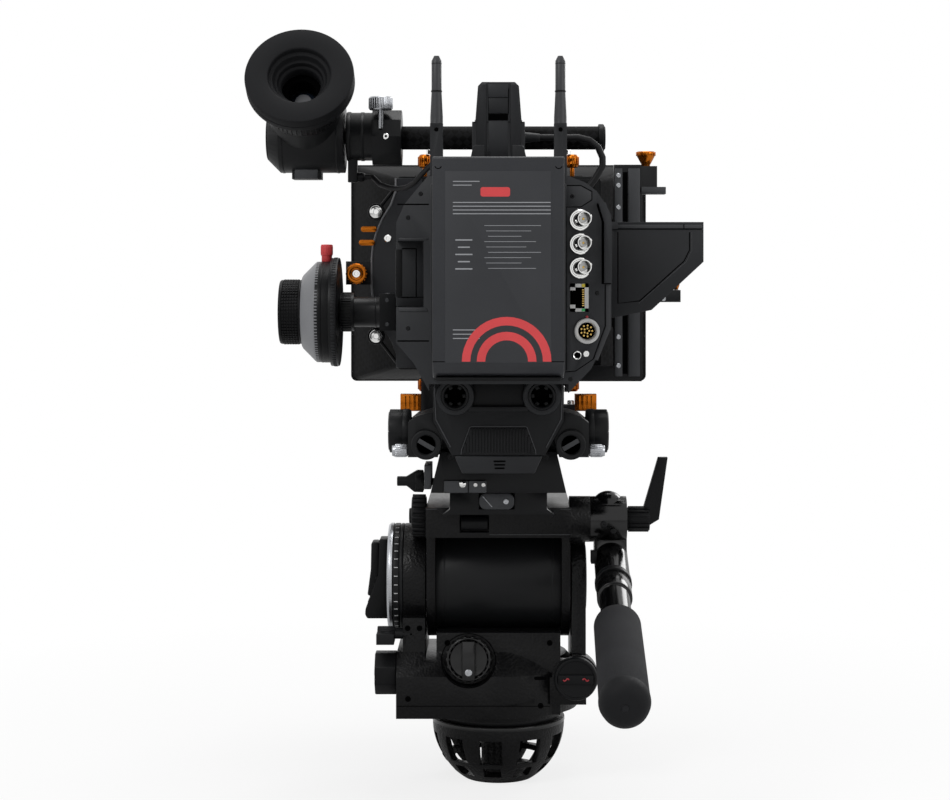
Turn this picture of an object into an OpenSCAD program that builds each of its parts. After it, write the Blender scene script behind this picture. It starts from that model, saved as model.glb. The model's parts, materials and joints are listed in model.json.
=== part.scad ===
// Cinema camera rig on a fluid head. Millimetres, +Z up, +Y along the view of the lens.
// The origin is the tie-down hole at the bottom of the half ball, on the pan axis.

/* [Fluid head] */
// Radius of the half ball, which seats in a bowl of twice this size
ball_r = 50; // [48:0.5:52]
// Radius of the flat at the bottom of the half ball
ball_flat_r = 26; // [24:0.5:28]
// Radius of the pan spindle
spindle_r = 14; // [12:0.5:16]
// Height of the tilt axis above the bottom of the half ball
tilt_z = 151; // [149:0.5:156]
// Radius of the tilt drum
drum_r = 40; // [38:0.5:41]
// Length of the tilt drum
drum_w = 94; // [90:1:98]
// Thickness of each platform arm
arm_w = 6.5; // [5:0.5:7.5]
// Radius of the round end of each platform arm
arm_r = 44; // [43:0.5:46]
// Reach of the casting to the left of the pan axis
cast_left = 75.3; // [74:0.5:78]
// Half depth of the casting
cast_y = 60; // [58:0.5:62]
// Height of the casting block
cast_h = 46.7; // [44:0.5:48]
// Radius of the cheeks and of the drag dial
cheek_r = 41; // [39:0.5:42]
// Thickness of the left cheek
cheek_left_w = 16.5; // [15:0.5:17]
// Thickness of the right cheek
cheek_right_w = 10.5; // [9:0.5:11]
// Thickness of the drag dial
dial_w = 12.4; // [10:0.2:13]
// Height of the platform's top above the tilt axis
platform_rise = 59; // [58:0.5:62]
// Thickness of the platform
platform_h = 22; // [20:0.5:23]
// Half depth of the platform
platform_y = 58; // [54:1:59]

/* [Pan bar] */
// Radius of the outer tube of the pan bar
bar_r = 12.5; // [11.5:0.1:12.7]
// Length of the outer tube beyond its clamp
bar_tube_len = 68; // [60:1:72]
// Radius of the foam grip
grip_r = 16; // [15:0.5:17]
// Length of the foam grip
grip_len = 142; // [130:1:160]
// Slope of the pan bar below level, in degrees
bar_drop_angle = 10.4; // [8:0.1:13]
// Turn of the pan bar towards the head, in degrees
bar_yaw_angle = 1.3; // [0.5:0.1:1.5]

/* [Plate and shoulder mount] */
// Half width of the sliding plate
plate_half_w = 35.5; // [33:0.5:37]
// Height of the sliding plate
plate_h = 21; // [19:0.5:23]
// Half length of the sliding plate
plate_y = 70; // [66:1:76]
// Height of the wedge plate
wedge_h = 29.4; // [28:0.2:31]
// Half width of the wedge plate at its foot
wedge_foot_w = 48; // [46:0.5:49]
// Half width of the wedge plate at its top
wedge_top_w = 41; // [39:0.5:41]
// Half width of the shoulder mount
shoulder_w = 45; // [44:0.5:46]
// Height of the shoulder mount
shoulder_h = 51.7; // [50:0.5:53]
// Distance between the two studio rods
studio_gap = 100; // [99:0.5:101]
// Depth of the studio rods below the lens axis
studio_drop = 118.75; // [118:0.25:119.5]
// Radius of the rods and of the rod sockets
rod_r = 7.5; // [7.2:0.1:7.8]
// Distance between the two lightweight rod sockets
light_gap = 60; // [58:0.5:62]
// Depth of the lightweight rod sockets below the lens axis
light_drop = 85; // [84:0.5:86]
// Radius of the rosettes
rosette_r = 15; // [14:0.5:16]

/* [Camera body] */
// Height of the lens axis above the shoulder mount
lens_rise = 74.3; // [73:0.1:76]
// Reach of the body to the right of the lens axis
body_right = 75.5; // [74:0.5:77]
// Reach of the body to the left of the lens axis
body_left = 68.4; // [67:0.2:70]
// Height of the body above the lens axis
body_up = 64.8; // [63:0.2:67]
// Place of the rear face of the body
body_rear = 200; // [197:1:203]
// Place of the front face of the body
body_front = 13; // [10:1:16]
// Wall of the body
body_wall = 6; // [5.5:0.1:6.6]
// Width of the battery
battery_w = 84; // [80:1:86]
// Height of the battery
battery_h = 141.6; // [138:0.2:145]
// Thickness of the battery
battery_d = 51; // [45:1:55]
// Thickness of the battery plate
battery_plate_d = 17; // [15:0.5:18]
// Height of each antenna above its hinge
antenna_len = 50; // [40:1:60]
// Radius of the root of each antenna
antenna_r = 4.25; // [4:0.05:4.5]
// Height of the top of the handle above the lens axis
handle_rise = 132.2; // [129:0.2:136]
// Length of the handle
handle_len = 190; // [180:1:196]
// Half width of the handle at its top
handle_w = 14.2; // [13:0.2:15]
// Length of the sunshade along the body
shade_len = 106; // [100:1:108]
// Reach of the sunshade from its hinge
shade_w = 66.5; // [60:0.5:70]

/* [Lens] */
// Radius of the lens barrel
lens_r = 50; // [48:0.2:50.4]
// Place of the front of the lens
lens_front = 103; // [101:0.2:103.4]
// Tooth module of the focus gears
gear_module = 0.8; // [0.79:0.01:0.81]
// Teeth of the focus ring
ring_count = 130; // [128:1:132]
// Teeth of the follow focus pinion
pinion_count = 43; // [41:1:45]

/* [Viewfinder] */
// Radius of the carbon rod
evf_rod_r = 9; // [8:0.1:9.4]
// Height of the carbon rod above the lens axis
evf_rod_rise = 104.3; // [103:0.1:106]
// Radius of the eyecup
eyecup_r = 40.7; // [38:0.5:42]
// Rise of the eyepiece's line of sight, in degrees
eyecup_angle = 27; // [22:1:32]

/* [Matte box] */
// Half width of the hood at its mouth
hood_w = 126; // [122:1:127]
// Half height of the hood at its mouth
hood_h = 92; // [90:1:94]
// Place of the mouth of the hood
hood_front = 200; // [190:1:205]
// Half width of the stage
stage_w = 83.5; // [82:0.5:84]
// Half height of the stage
stage_h = 78.5; // [77:0.5:80]
// Radius of the round ring at the back of the stage
stage_ring_r = 103; // [100:0.5:105]

/* [Follow focus] */
// Depth of the handwheel's axis below the lens axis
focus_drop = 31; // [29:0.5:33]
// Radius of the marking disc
disc_r = 40; // [37:0.5:42]
// Radius of the handwheel's knurled knob
wheel_r = 26; // [24:0.5:28]

/* [Hidden] */
$fn = 48;

// Shared clearances and the overrun of every cut
cut = 1;
run_gap = 0.05;
face_gap = 0.3;

// Rods along each axis; "at" holds the two coordinates across the rod
module xrod(x0, x1, r, at) translate([x0, at.x, at.y]) rotate([0, 90, 0]) cylinder(h = x1 - x0, r = r);
module yrod(y0, y1, r, at) translate([at.x, y0, at.y]) rotate([-90, 0, 0]) cylinder(h = y1 - y0, r = r);
module zrod(z0, z1, r, at = [0, 0]) translate([at.x, at.y, z0]) cylinder(h = z1 - z0, r = r);
// Turned profiles: points are (radius, place along the axis)
module xturn(at) translate([0, at.x, at.y]) rotate([0, 90, 0]) rotate_extrude() children();
module yturn(at) translate([at.x, 0, at.y]) rotate([-90, 0, 0]) rotate_extrude() children();
// Outlines drawn across an axis and extruded along it
module along_x(x0, x1) translate([x0, 0, 0]) rotate([90, 0, 90]) linear_extrude(x1 - x0) children();
module along_y(y0, y1) translate([0, y1, 0]) rotate([90, 0, 0]) linear_extrude(y1 - y0) children();
module along_z(z0, z1) translate([0, 0, z0]) linear_extrude(z1 - z0) children();
module block(lo, hi) translate(lo) cube(hi - lo);
// A block that reaches equally far to both sides of the plane X = 0
module mid_block(half_w, y, z) block([-half_w, y[0], z[0]], [half_w, y[1], z[1]]);
module rounded(w, h, r) {
  square([2 * w - 2 * r, 2 * h], center = true);
  square([2 * w, 2 * h - 2 * r], center = true);
  for (x = [-1, 1], y = [-1, 1]) translate([x * (w - r), y * (h - r)]) circle(r);
}
module both() { children(); mirror([1, 0, 0]) children(); }
// An outline as shares of its reach to each side of zero
function reach(shares, right, left, up, down) =
  [for (p = shares) [p.x * (p.x > 0 ? right : left), p.y * (p.y > 0 ? up : down)]];

// Routes of the two cords, as points chosen by hand
evf_cable_r = 2;
evf_route = [[-103, 20, 457], [-97, 20, 457], [-91, 12, 451], [-83, 4, 448], [-76, -3, 447], [-69, -14, 448],
  [-63, -24, 451], [-57, -36, 457], [-51, -48, 462], [-46, -58, 465], [-41, -68, 465], [-37, -78, 462],
  [-34, -86, 457], [-34, -90, 454], [-34, -90, 450]];
handle_cable_r = 2.4;
handle_route = [[29, -130, 478], [36, -130, 478], [46, -130, 478], [56, -130, 478], [64, -130, 476], [70, -130, 471],
  [73, -130, 464], [73, -130, 458], [70, -130, 453], [67, -130, 448], [64, -130, 444]];

// Heights that stack up from the half ball
ball_z = sqrt(ball_r * ball_r - ball_flat_r * ball_flat_r);
ball_wall = 5;
ball_rim = 3.6;
ball_top = ball_z + ball_rim;
spindle_flange = 3.6;
cast_ring_z = ball_top + spindle_flange + face_gap;
cast_ring_h = 5.1;
cast_z = cast_ring_z + cast_ring_h;
cast_top = cast_z + cast_h;
platform_top = tilt_z + platform_rise;
platform_low = platform_top - platform_h;
plate_seat = 3.4;
plate_low = platform_top - plate_seat;
plate_top = plate_low + plate_h;
wedge_top = plate_top + wedge_h;
shoulder_top = wedge_top + shoulder_h;
lens_z = shoulder_top + lens_rise;

// Half ball and spindle
band_z = 15.5;
band_w = 3.4;
window_top = 36;
window_low = 6;
window_in = [22, 33];
window_w = [13, 17];
window_count = 10;
window_turn_angle = 11;
hub_r = 13;
tie_r = 5.1;
tie_depth = 24;
spindle_top = 92;

module ball_profile() {
  difference() {
    intersection() {
      translate([0, ball_z]) circle(r = ball_r, $fn = 96);
      square([ball_r, ball_z]);
    }
    intersection() {
      translate([0, ball_z]) circle(r = ball_r - ball_wall, $fn = 96);
      translate([hub_r, ball_wall]) square([ball_r, ball_z - ball_wall]);
    }
  }
  translate([0, ball_z]) square([ball_r, ball_rim]);
}

module half_ball() color("#1b1b1d") difference() {
  rotate_extrude() ball_profile();
  for (i = [0:window_count - 1]) rotate(i * 360 / window_count + window_turn_angle) {
    block([window_in[0], -window_w[0] / 2, window_low], [ball_r + cut, window_w[0] / 2, band_z - band_w / 2]);
    block([window_in[1], -window_w[1] / 2, band_z + band_w / 2], [ball_r + cut, window_w[1] / 2, window_top]);
  }
  zrod(-cut, tie_depth, tie_r);
}

module pan_spindle() color("#8a8c8e") {
  zrod(ball_top, ball_top + spindle_flange, ball_r - ball_wall);
  zrod(ball_top, spindle_top, spindle_r);
}

// Head casting: block, round front, saddle and two cheeks
arm_in = drum_w / 2;
arm_out = arm_in + arm_w;
cheek_in = arm_out + cut;
cheek_left = cheek_in + cheek_left_w;
cheek_right = cheek_in + cheek_right_w;
cast_face_w = 38;
cast_band_y = 45;
cast_band_h = 16;
saddle_z = 116;
saddle_w = arm_in - cut;
cheek_foot_z = 127;
slot_z = 95;
stub_r = 10;
stub_len = 7;
knob_recess_r = 19.6;
knob_recess_d = 13;
balance_x = -22;
balance_z = 98.1;
brake_x = 57;
brake_z = 83.5;
brake_r = 17;
brake_face = 48;
axle_r = 4;
axle_len = 10;
dial_axle_r = 8;
dial_axle_len = 6;
pan_knob_y = -38;
pan_knob_z = 85.5;
pan_knob_r = 16.6;
pan_knob_w = 16;
brake_lever_y = -41;
brake_lever_z = 115;
brake_lever_r = 5.4;
brake_lever_w = 13;
brake_lever_len = 19;
brake_lever_stand = 1.6;

module cast_side(x0, x1) along_x(x0, x1) polygon([[-cast_y, cast_z], [-cast_y, cast_top - cast_band_h],
  [-cast_band_y, cast_top], [cast_band_y, cast_top], [cast_y, cast_top - cast_band_h], [cast_y, cast_z]]);

module head_casting() color("#232427") difference() {
  union() {
    zrod(cast_ring_z, cast_z + cut, ball_r);
    cast_side(-cast_left, 0);
    intersection() {
      rotate_extrude() polygon([[0, cast_z], [cast_y, cast_z], [cast_y, cast_top - cast_band_h],
        [cast_band_y, cast_top], [0, cast_top]]);
      block([-cut, -cast_y - cut, 0], [cheek_right, cast_y + cut, cast_top + cut]);
    }
    mid_block(saddle_w, [-cast_band_y, cast_band_y], [cast_z, saddle_z]);
    block([-cheek_left, -cast_band_y, cast_z], [-cheek_in, cast_band_y, cheek_foot_z]);
    block([cheek_in, -cheek_r, cast_z + cast_band_h], [cheek_right, cheek_r, tilt_z]);
    block([cast_face_w, -brake_face, cast_z + cast_band_h / 2],
      [cheek_right, brake_face - brake_r, brake_z]);
    yrod(-brake_face, -brake_face + brake_r, brake_r, [brake_x, brake_z]);
    xrod(-cheek_left, -cheek_in, cheek_r, [0, tilt_z]);
    xrod(cheek_in, cheek_right, cheek_r, [0, tilt_z]);
  }
  zrod(cast_ring_z - cut, spindle_top + cut, spindle_r + run_gap);
  xrod(-saddle_w - cut, saddle_w + cut, drum_r + face_gap + cut, [0, tilt_z]);
  both() block([saddle_w, -cast_y - cut, slot_z], [cheek_in, cast_y + cut, tilt_z + cheek_r]);
  xrod(-cheek_in - stub_len - run_gap, cheek_right, stub_r + run_gap, [0, tilt_z]);
  xrod(-cheek_left - cut, -cheek_left + dial_axle_len + run_gap, dial_axle_r + run_gap, [0, tilt_z]);
  xrod(-cast_left - cut, -cast_left + axle_len + cut, axle_r + run_gap, [pan_knob_y, pan_knob_z]);
  xrod(-cast_left - cut, -cast_left + axle_len + cut, axle_r + run_gap, [brake_lever_y, brake_lever_z]);
  yrod(-cast_y - cut, -cast_y + knob_recess_d, knob_recess_r, [balance_x, balance_z]);
  yrod(-cast_y, -cast_y + knob_recess_d + axle_len, axle_r + run_gap, [balance_x, balance_z]);
  yrod(-cast_y - cut, -brake_face, brake_r + face_gap, [brake_x, brake_z]);
  yrod(-brake_face - cut, -brake_face + axle_len + cut, axle_r + run_gap, [brake_x, brake_z]);
}

module drag_dial() color("#2a2b2e") {
  xrod(-cheek_left - face_gap - dial_w, -cheek_left - face_gap, cheek_r, [0, tilt_z]);
  xrod(-cheek_left - face_gap - cut, -cheek_left + dial_axle_len, dial_axle_r, [0, tilt_z]);
}

// The crank is a wedge that grows thicker towards its ribbed lower end
crank_half_w = 11;
crank_reach = 30;
crank_thick = 17.5;
crank_shares = [[0, 1], [-0.38, 1], [-0.43, 0.1], [-0.98, -0.76], [-1, -0.9], [-0.9, -1], [0, -1]];
crank_x = -cheek_left - face_gap - dial_w;

module drag_crank() color("#18181a") translate([crank_x, 0, tilt_z]) along_y(-crank_half_w, crank_half_w)
  polygon(reach(crank_shares, crank_thick, crank_thick, crank_reach, crank_reach));

module pan_drag_knob() color("#1c1c1e") {
  translate([-cast_left - face_gap, pan_knob_y, pan_knob_z]) rotate([0, -90, 0]) rotate(180 / 8)
    cylinder(h = pan_knob_w, r = pan_knob_r, $fn = 8);
  xrod(-cast_left - cut, -cast_left + axle_len, axle_r, [pan_knob_y, pan_knob_z]);
}

module pan_brake_lever() color("#2b2c2f") {
  lever_x = -cast_left - brake_lever_stand;
  xrod(lever_x - brake_lever_w, lever_x, brake_lever_r, [brake_lever_y, brake_lever_z]);
  block([lever_x - brake_lever_w, brake_lever_y - brake_lever_len, brake_lever_z - brake_lever_r],
    [lever_x, brake_lever_y, brake_lever_z + brake_lever_r / 2]);
  xrod(lever_x - cut, -cast_left + axle_len, axle_r, [brake_lever_y, brake_lever_z]);
}

balance_knob_r = 16.4;
balance_knob_d = 12;
balance_bar_w = 9;
balance_scallop_r = 9;
module balance_knob() color("#151517") {
  difference() {
    yrod(-cast_y - cut, -cast_y + knob_recess_d - face_gap, balance_knob_r, [balance_x, balance_z]);
    for (side = [-1, 1]) yrod(-cast_y - 2 * cut, -cast_y + balance_knob_d / 2, balance_scallop_r,
      [balance_x + side * (balance_bar_w / 2 + balance_scallop_r), balance_z]);
  }
  yrod(-cast_y + knob_recess_d - cut, -cast_y + knob_recess_d + axle_len - cut, axle_r, [balance_x, balance_z]);
}

brake_knob_d = 8;
module tilt_brake_knob() color("#1c1d1f") {
  yrod(-brake_face - face_gap - brake_knob_d, -brake_face - face_gap, brake_r - cut, [brake_x, brake_z]);
  yrod(-brake_face - cut, -brake_face + axle_len, axle_r, [brake_x, brake_z]);
}

module tilt_drum() color("#26272a") {
  xrod(-arm_in, arm_in, drum_r, [0, tilt_z]);
  xrod(-cheek_in - stub_len, cheek_in + stub_len, stub_r, [0, tilt_z]);
}

// Platform with its arms, dovetail channel, side hub and rear window
platform_half_w = arm_out;
hub_x = 14.4;
hub_y = -40;
hub_z = tilt_z + 49;
pan_hub_r = 17;
flare_w = 5;
roller_x = [-28.5, -7];
roller_z = [192, 205];
roller_d = 8;
platform_knob_y = -30;
platform_knob_z = tilt_z + 50.3;
platform_knob_r = 14.6;
platform_knob_w = 11;
platform_tooth_r = 1.5;
platform_tooth_count = 18;

module platform() color("#222326") difference() {
  union() {
    mid_block(platform_half_w, [-platform_y, platform_y], [platform_low, platform_top]);
    both() {
      xrod(arm_in, arm_out, arm_r, [0, tilt_z]);
      block([arm_in, -arm_r, tilt_z], [arm_out, arm_r, platform_top]);
    }
    xrod(platform_half_w - cut, platform_half_w + hub_x, pan_hub_r, [hub_y, hub_z]);
  }
  xrod(-arm_in, arm_in, drum_r + face_gap, [0, tilt_z]);
  xrod(-arm_out - cut, arm_out + cut, stub_r, [0, tilt_z]);
  along_y(-platform_y - cut, platform_y + cut) dovetail(plate_half_w + face_gap, plate_low);
  block([roller_x[0], -platform_y - cut, roller_z[0]], [roller_x[1], -platform_y + roller_d, roller_z[1]]);
  xrod(-platform_half_w - cut, -platform_half_w + axle_len + cut, axle_r + run_gap, [platform_knob_y, platform_knob_z]);
  xrod(platform_half_w, platform_half_w + hub_x + cut, axle_r + run_gap, [hub_y, hub_z]);
}
module dovetail(half_w, low) polygon([[-half_w - flare_w, low], [half_w + flare_w, low],
  [half_w, platform_top + face_gap], [half_w, platform_top + cut],
  [-half_w, platform_top + cut], [-half_w, platform_top + face_gap]]);

module platform_knob() color("#141416") {
  knob_x = -platform_half_w - face_gap;
  xrod(knob_x - platform_knob_w, knob_x, platform_knob_r, [platform_knob_y, platform_knob_z]);
  for (i = [0:platform_tooth_count - 1]) xrod(knob_x - platform_knob_w, knob_x, platform_tooth_r,
    [platform_knob_y + platform_knob_r * cos(i * 360 / platform_tooth_count),
     platform_knob_z + platform_knob_r * sin(i * 360 / platform_tooth_count)]);
  xrod(knob_x - platform_knob_w - 2 * cut, -platform_half_w + axle_len, axle_r, [platform_knob_y, platform_knob_z]);
}

// Pan bar: its frame starts at the clamp and points along the bar
clamp_x = platform_half_w + hub_x;
clamp_w = 27;
bar_x = 83.5;
bar_low = 27.6;
bar_at = [bar_x, hub_y, hub_z - bar_low];
bar_inner_r = 10.6;
bar_wall = 1.9;
clamp_reach = 30;
extension_in = 56;
extension_out = 84;
grip_nose = 10;
grip_cap = 2;

module bar_frame() translate(bar_at) rotate([90 + bar_drop_angle, 0, -bar_yaw_angle]) children();

module pan_bar_clamp() color("#1a1a1c") {
  difference() {
    union() {
      xrod(clamp_x, clamp_x + clamp_w, pan_hub_r, [hub_y, hub_z]);
      translate([clamp_x + clamp_w / 2, hub_y, hub_z + pan_hub_r / 2]) sphere(r = clamp_w / 2 - cut);
      bar_frame() zrod(-bar_r, bar_tube_len, bar_r);
      block([bar_x - bar_r, hub_y - pan_hub_r / 2, hub_z - bar_low], [bar_x + bar_r - cut, hub_y + pan_hub_r / 2, hub_z]);
    }
    bar_frame() zrod(0, bar_tube_len + cut, bar_inner_r + run_gap);
    xrod(clamp_x + clamp_w / 2, clamp_x + clamp_w + cut, axle_r + run_gap, [hub_y, hub_z]);
  }
  xrod(platform_half_w + cut, clamp_x + cut, axle_r, [hub_y, hub_z]);
}

// Ratchet lever: a ribbed hub with a raised arm
lever_hub_r = 8.6;
lever_hub_w = 17;
lever_arm_w = 7;
lever_rise = 46;
lever_lean = 10;
module pan_bar_lever() color("#161618") {
  lever_x = clamp_x + clamp_w + face_gap;
  xrod(lever_x, lever_x + lever_hub_w, lever_hub_r, [hub_y, hub_z]);
  xrod(clamp_x + clamp_w / 2 + cut, lever_x + cut, axle_r, [hub_y, hub_z]);
  translate([0, hub_y, hub_z]) along_y(-lever_arm_w / 2, lever_arm_w / 2) polygon([
    [lever_x + lever_hub_w - lever_arm_w, 0], [lever_x + lever_hub_w, -lever_hub_r / 2],
    [lever_x + lever_hub_w + lever_arm_w, 0], [lever_x + lever_hub_w + lever_lean + lever_arm_w / 2, lever_rise],
    [lever_x + lever_hub_w + lever_lean - lever_arm_w / 2, lever_rise]]);
}

module pan_bar_extension() color("#202023") bar_frame() difference() {
  union() {
    zrod(bar_tube_len - extension_in, bar_tube_len + extension_out + grip_len, bar_inner_r);
    zrod(bar_tube_len + face_gap, bar_tube_len + extension_out / 3, bar_r);
  }
  zrod(bar_tube_len - extension_in - cut, bar_tube_len + extension_out + grip_len - cut, bar_inner_r - bar_wall);
}

module pan_bar_grip() color("#2c2c2e") bar_frame() translate([0, 0, bar_tube_len + extension_out])
  rotate_extrude() polygon(concat([[0, grip_len], [bar_inner_r, grip_len], [bar_inner_r, 0], [grip_r - cut, 0], [grip_r, cut]],
    [for (a = [0:15:90]) [grip_r - grip_nose + grip_nose * cos(a), grip_len + grip_cap - grip_nose + grip_nose * sin(a)]],
    [[0, grip_len + grip_cap]]));

// Sliding plate and wedge plate
latch_x = [-14, 11.5];
latch_z = [210.7, 222.6];
latch_d = 9;
latch_stand = 3.4;
latch_travel = 2.5;
latch_r = (latch_z[1] - latch_z[0]) / 2;

module sliding_plate() color("#2d2e31") difference() {
  union() {
    mid_block(plate_half_w, [-plate_y, plate_y], [platform_top, plate_top]);
    intersection() {
      along_y(-plate_y, plate_y) dovetail(plate_half_w, plate_low + face_gap / 3);
      mid_block(plate_half_w + flare_w, [-plate_y, plate_y], [0, platform_top + cut]);
    }
  }
  block([latch_x[0] - face_gap, -plate_y - cut, latch_z[0] - face_gap],
    [latch_x[1] + face_gap, -plate_y - latch_stand + latch_d + latch_travel + face_gap, latch_z[1] + face_gap]);
}

module plate_latch() color("#37383b") along_y(-plate_y - latch_stand, -plate_y - latch_stand + latch_d)
  translate([(latch_x[0] + latch_x[1]) / 2, latch_z[0] + latch_r])
    rounded((latch_x[1] - latch_x[0]) / 2, latch_r, latch_r - cut);

wedge_y = [-120, 60];
wedge_boss_x = [-38.6, -9.3];
wedge_boss_h = 9;
wedge_boss_d = 1.5;
wedge_lever_y = -90;
wedge_lever_z = plate_top + 3;
wedge_spindle_r = 2.3;
wedge_lever_r = 7;
wedge_lever_x = [-73, -53.6];
wedge_ear = 10;

module wedge_plate() color("#242528") difference() {
  union() {
    along_y(wedge_y[0], wedge_y[1]) polygon([[-wedge_foot_w, plate_top], [wedge_foot_w, plate_top],
      [wedge_top_w, wedge_top], [-wedge_top_w, wedge_top]]);
    block([wedge_boss_x[0], wedge_y[0] - wedge_boss_d, plate_top],
      [wedge_boss_x[1], wedge_y[0], plate_top + wedge_boss_h]);
  }
  xrod(-wedge_foot_w - cut, -wedge_foot_w + 2 * wedge_ear, wedge_spindle_r + run_gap, [wedge_lever_y, wedge_lever_z + wedge_ear / 4]);
}

module wedge_lever() color("#1b1b1d") {
  at = [wedge_lever_y, wedge_lever_z + wedge_ear / 4];
  xrod(wedge_lever_x[0], wedge_lever_x[0] + wedge_lever_r * 2, wedge_lever_r / 2, at);
  xrod(wedge_lever_x[0] + wedge_lever_r * 2 - cut, wedge_lever_x[1], wedge_lever_r, at);
  xrod(wedge_lever_x[1] - cut, -wedge_foot_w + wedge_ear, wedge_spindle_r, at);
}

// Shoulder mount, its latch and the rod brackets
shoulder_y = [-154, 10];
shoulder_shares = [[-1, 1], [1, 1], [1, 0.456], [0.71, 0], [-0.71, 0], [-1, 0.456]];
socket_depth = 40;
recess_half_w = 18;
recess_h = 18;
recess_d = 3;
pad_shares = [[-0.44, 0.36], [0.44, 0.36], [0.57, 0.02], [-0.57, 0.02]];
pad_d = 1;
light_z = lens_z - light_drop;
studio_z = lens_z - studio_drop;
studio_x = studio_gap / 2;

module shoulder_outline() polygon([for (p = shoulder_shares) [p.x * shoulder_w, wedge_top + p.y * shoulder_h]]);

module shoulder_mount() color("#2e2f32") difference() {
  union() {
    along_y(shoulder_y[0], shoulder_y[1]) shoulder_outline();
    along_y(shoulder_y[0] - pad_d, shoulder_y[0] + cut)
      polygon([for (p = pad_shares) [p.x * shoulder_w, wedge_top + p.y * shoulder_h]]);
  }
  for (side = [-1, 1]) yrod(shoulder_y[0] - cut, shoulder_y[0] + socket_depth, rod_r + run_gap, [side * light_gap / 2, light_z]);
  mid_block(recess_half_w, [shoulder_y[0] - cut, shoulder_y[0] + recess_d], [shoulder_top - recess_h, shoulder_top + cut]);
}

lip_half_w = 30.4;
lip_low_w = 25;
lip_h = 12.4;
lip_d = 6;
tongue_half_w = 20;
tongue_h = 3;

module shoulder_latch() color("#303134") {
  along_y(shoulder_y[0], shoulder_y[0] + lip_d) polygon([[-lip_half_w, wedge_top - face_gap], [lip_half_w, wedge_top - face_gap],
    [lip_low_w, wedge_top - lip_h], [-lip_low_w, wedge_top - lip_h]]);
  mid_block(tongue_half_w, [shoulder_y[0] + lip_d - cut, wedge_y[0] - cut], [wedge_top - face_gap - tongue_h, wedge_top - face_gap]);
}

bracket_y = [-150, -100];
bracket_w = 17.6;
bracket_shares = [[0, 0.58], [0.68, 0.52], [1, 0.43], [1, -0.03], [-0.17, -0.03], [-0.37, 0.228], [0, 0.456]];
rosette_w = 14;
rosette_y = -120;
rosette_z = wedge_top + 14.5;
rosette_thread_r = 2.5;
rosette_depth = 12;
lock_y = -143;
lock_r = 4.2;
lock_len = 11;
lock_pin_r = 2;
lock_pin_len = 6;
lock_z = wedge_top + 2.5;
bracket_x = shoulder_w + bracket_w;

module rod_brackets() color("#2a2b2d") both() difference() {
  union() {
    along_y(bracket_y[0], bracket_y[1])
      polygon([for (p = bracket_shares) [shoulder_w + p.x * bracket_w, wedge_top + p.y * shoulder_h]]);
    xrod(bracket_x - cut, bracket_x + rosette_w, rosette_r, [rosette_y, rosette_z]);
  }
  yrod(bracket_y[0] - cut, bracket_y[1] + cut, rod_r + run_gap / 2, [studio_x, studio_z]);
  xrod(bracket_x + rosette_w - rosette_depth, bracket_x + rosette_w + cut, rosette_thread_r, [rosette_y, rosette_z]);
  xrod(bracket_x - lock_pin_len, bracket_x + cut, lock_pin_r + run_gap, [lock_y, lock_z]);
}

rod_front = 125;
rod_collar = 2;
rod_collar_r = 8.7;
module studio_rods() color("#242527") both() {
  yrod(bracket_y[0], rod_front, rod_r, [studio_x, studio_z]);
  yrod(bracket_y[0] - rod_collar, bracket_y[0], rod_collar_r, [studio_x, studio_z]);
}

module rod_lock() {
  xrod(bracket_x + face_gap, bracket_x + face_gap + lock_len, lock_r, [lock_y, lock_z]);
  xrod(bracket_x - lock_pin_len + face_gap, bracket_x + face_gap, lock_pin_r, [lock_y, lock_z]);
}
module rod_lock_left() color("#9a9da0") mirror([1, 0, 0]) rod_lock();
module rod_lock_right() color("#9a9da0") rod_lock();

// Camera body: outline as shares of its reach to each side of the lens axis
body_shares = [[-0.69, 1], [0.62, 1], [0.755, 0.94], [0.87, 0.845], [0.94, 0.725], [1, 0.6], [1, -0.5],
  [0.82, -0.864], [0.62, -1.08], [0.62, -1], [-0.68, -1], [-0.68, -1.06], [-0.83, -0.81], [-1, -0.63],
  [-1, 0.52], [-0.92, 0.71]];
inner_shares = [[-0.65, 1], [0.58, 1], [0.92, 0.72], [1, 0.58], [1, -0.48], [0.72, -0.97], [-0.66, -0.97],
  [-1, -0.6], [-1, 0.5]];
panel_t = 3;
front_wall = 4;
mount_bore_r = 27;
door_y = [-184, -40];
door_z = [-47, 33.5];
door_t = 3.6;
recess_x = 18.4;
recess_z = [-23, 21.5];
recess_y = 16;
recess_wall = 3;
antenna_x = 41.8;
antenna_y = -185;
antenna_z = lens_z + 96.6;
antenna_lug_w = 6;
antenna_pin_r = 1.5;
display_t = 4.5;
display_y = [-94, 0];
display_z = [-30, 31];
hinge_r = 1.6;
hinge_pin_r = 0.8;
hinge_pin_len = 3;
shade_lug_t = 3;
shade_pin_r = 1.2;
shade_pin_in = 2.5;
rear_in = -body_rear + panel_t;
socket_boss_r = 4;
socket_boss_h = 7;
boss_lean_angle = atan(0.75);

module body_section(trim) translate([0, lens_z])
  polygon(reach(body_shares, body_right - trim, body_left - trim, body_up - trim, lens_rise - trim));
module body_hollow() translate([0, lens_z]) polygon(reach(inner_shares, body_right - body_wall,
  body_left - body_wall, body_up - body_wall, lens_rise - body_wall));

module antenna_lug() difference() {
  block([antenna_x - antenna_r, antenna_y - antenna_lug_w, lens_z + body_up - cut],
    [antenna_x + antenna_r, antenna_y + antenna_lug_w, antenna_z + antenna_r]);
  block([antenna_x - antenna_lug_w - cut, antenna_y - antenna_r - face_gap, antenna_z - antenna_r - face_gap * 2],
    [antenna_x + antenna_lug_w + cut, antenna_y + antenna_r + face_gap, antenna_z + antenna_r + cut]);
  yrod(antenna_y - antenna_lug_w - cut, antenna_y + antenna_lug_w + cut, antenna_pin_r + run_gap, [antenna_x, antenna_z]);
}

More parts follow.
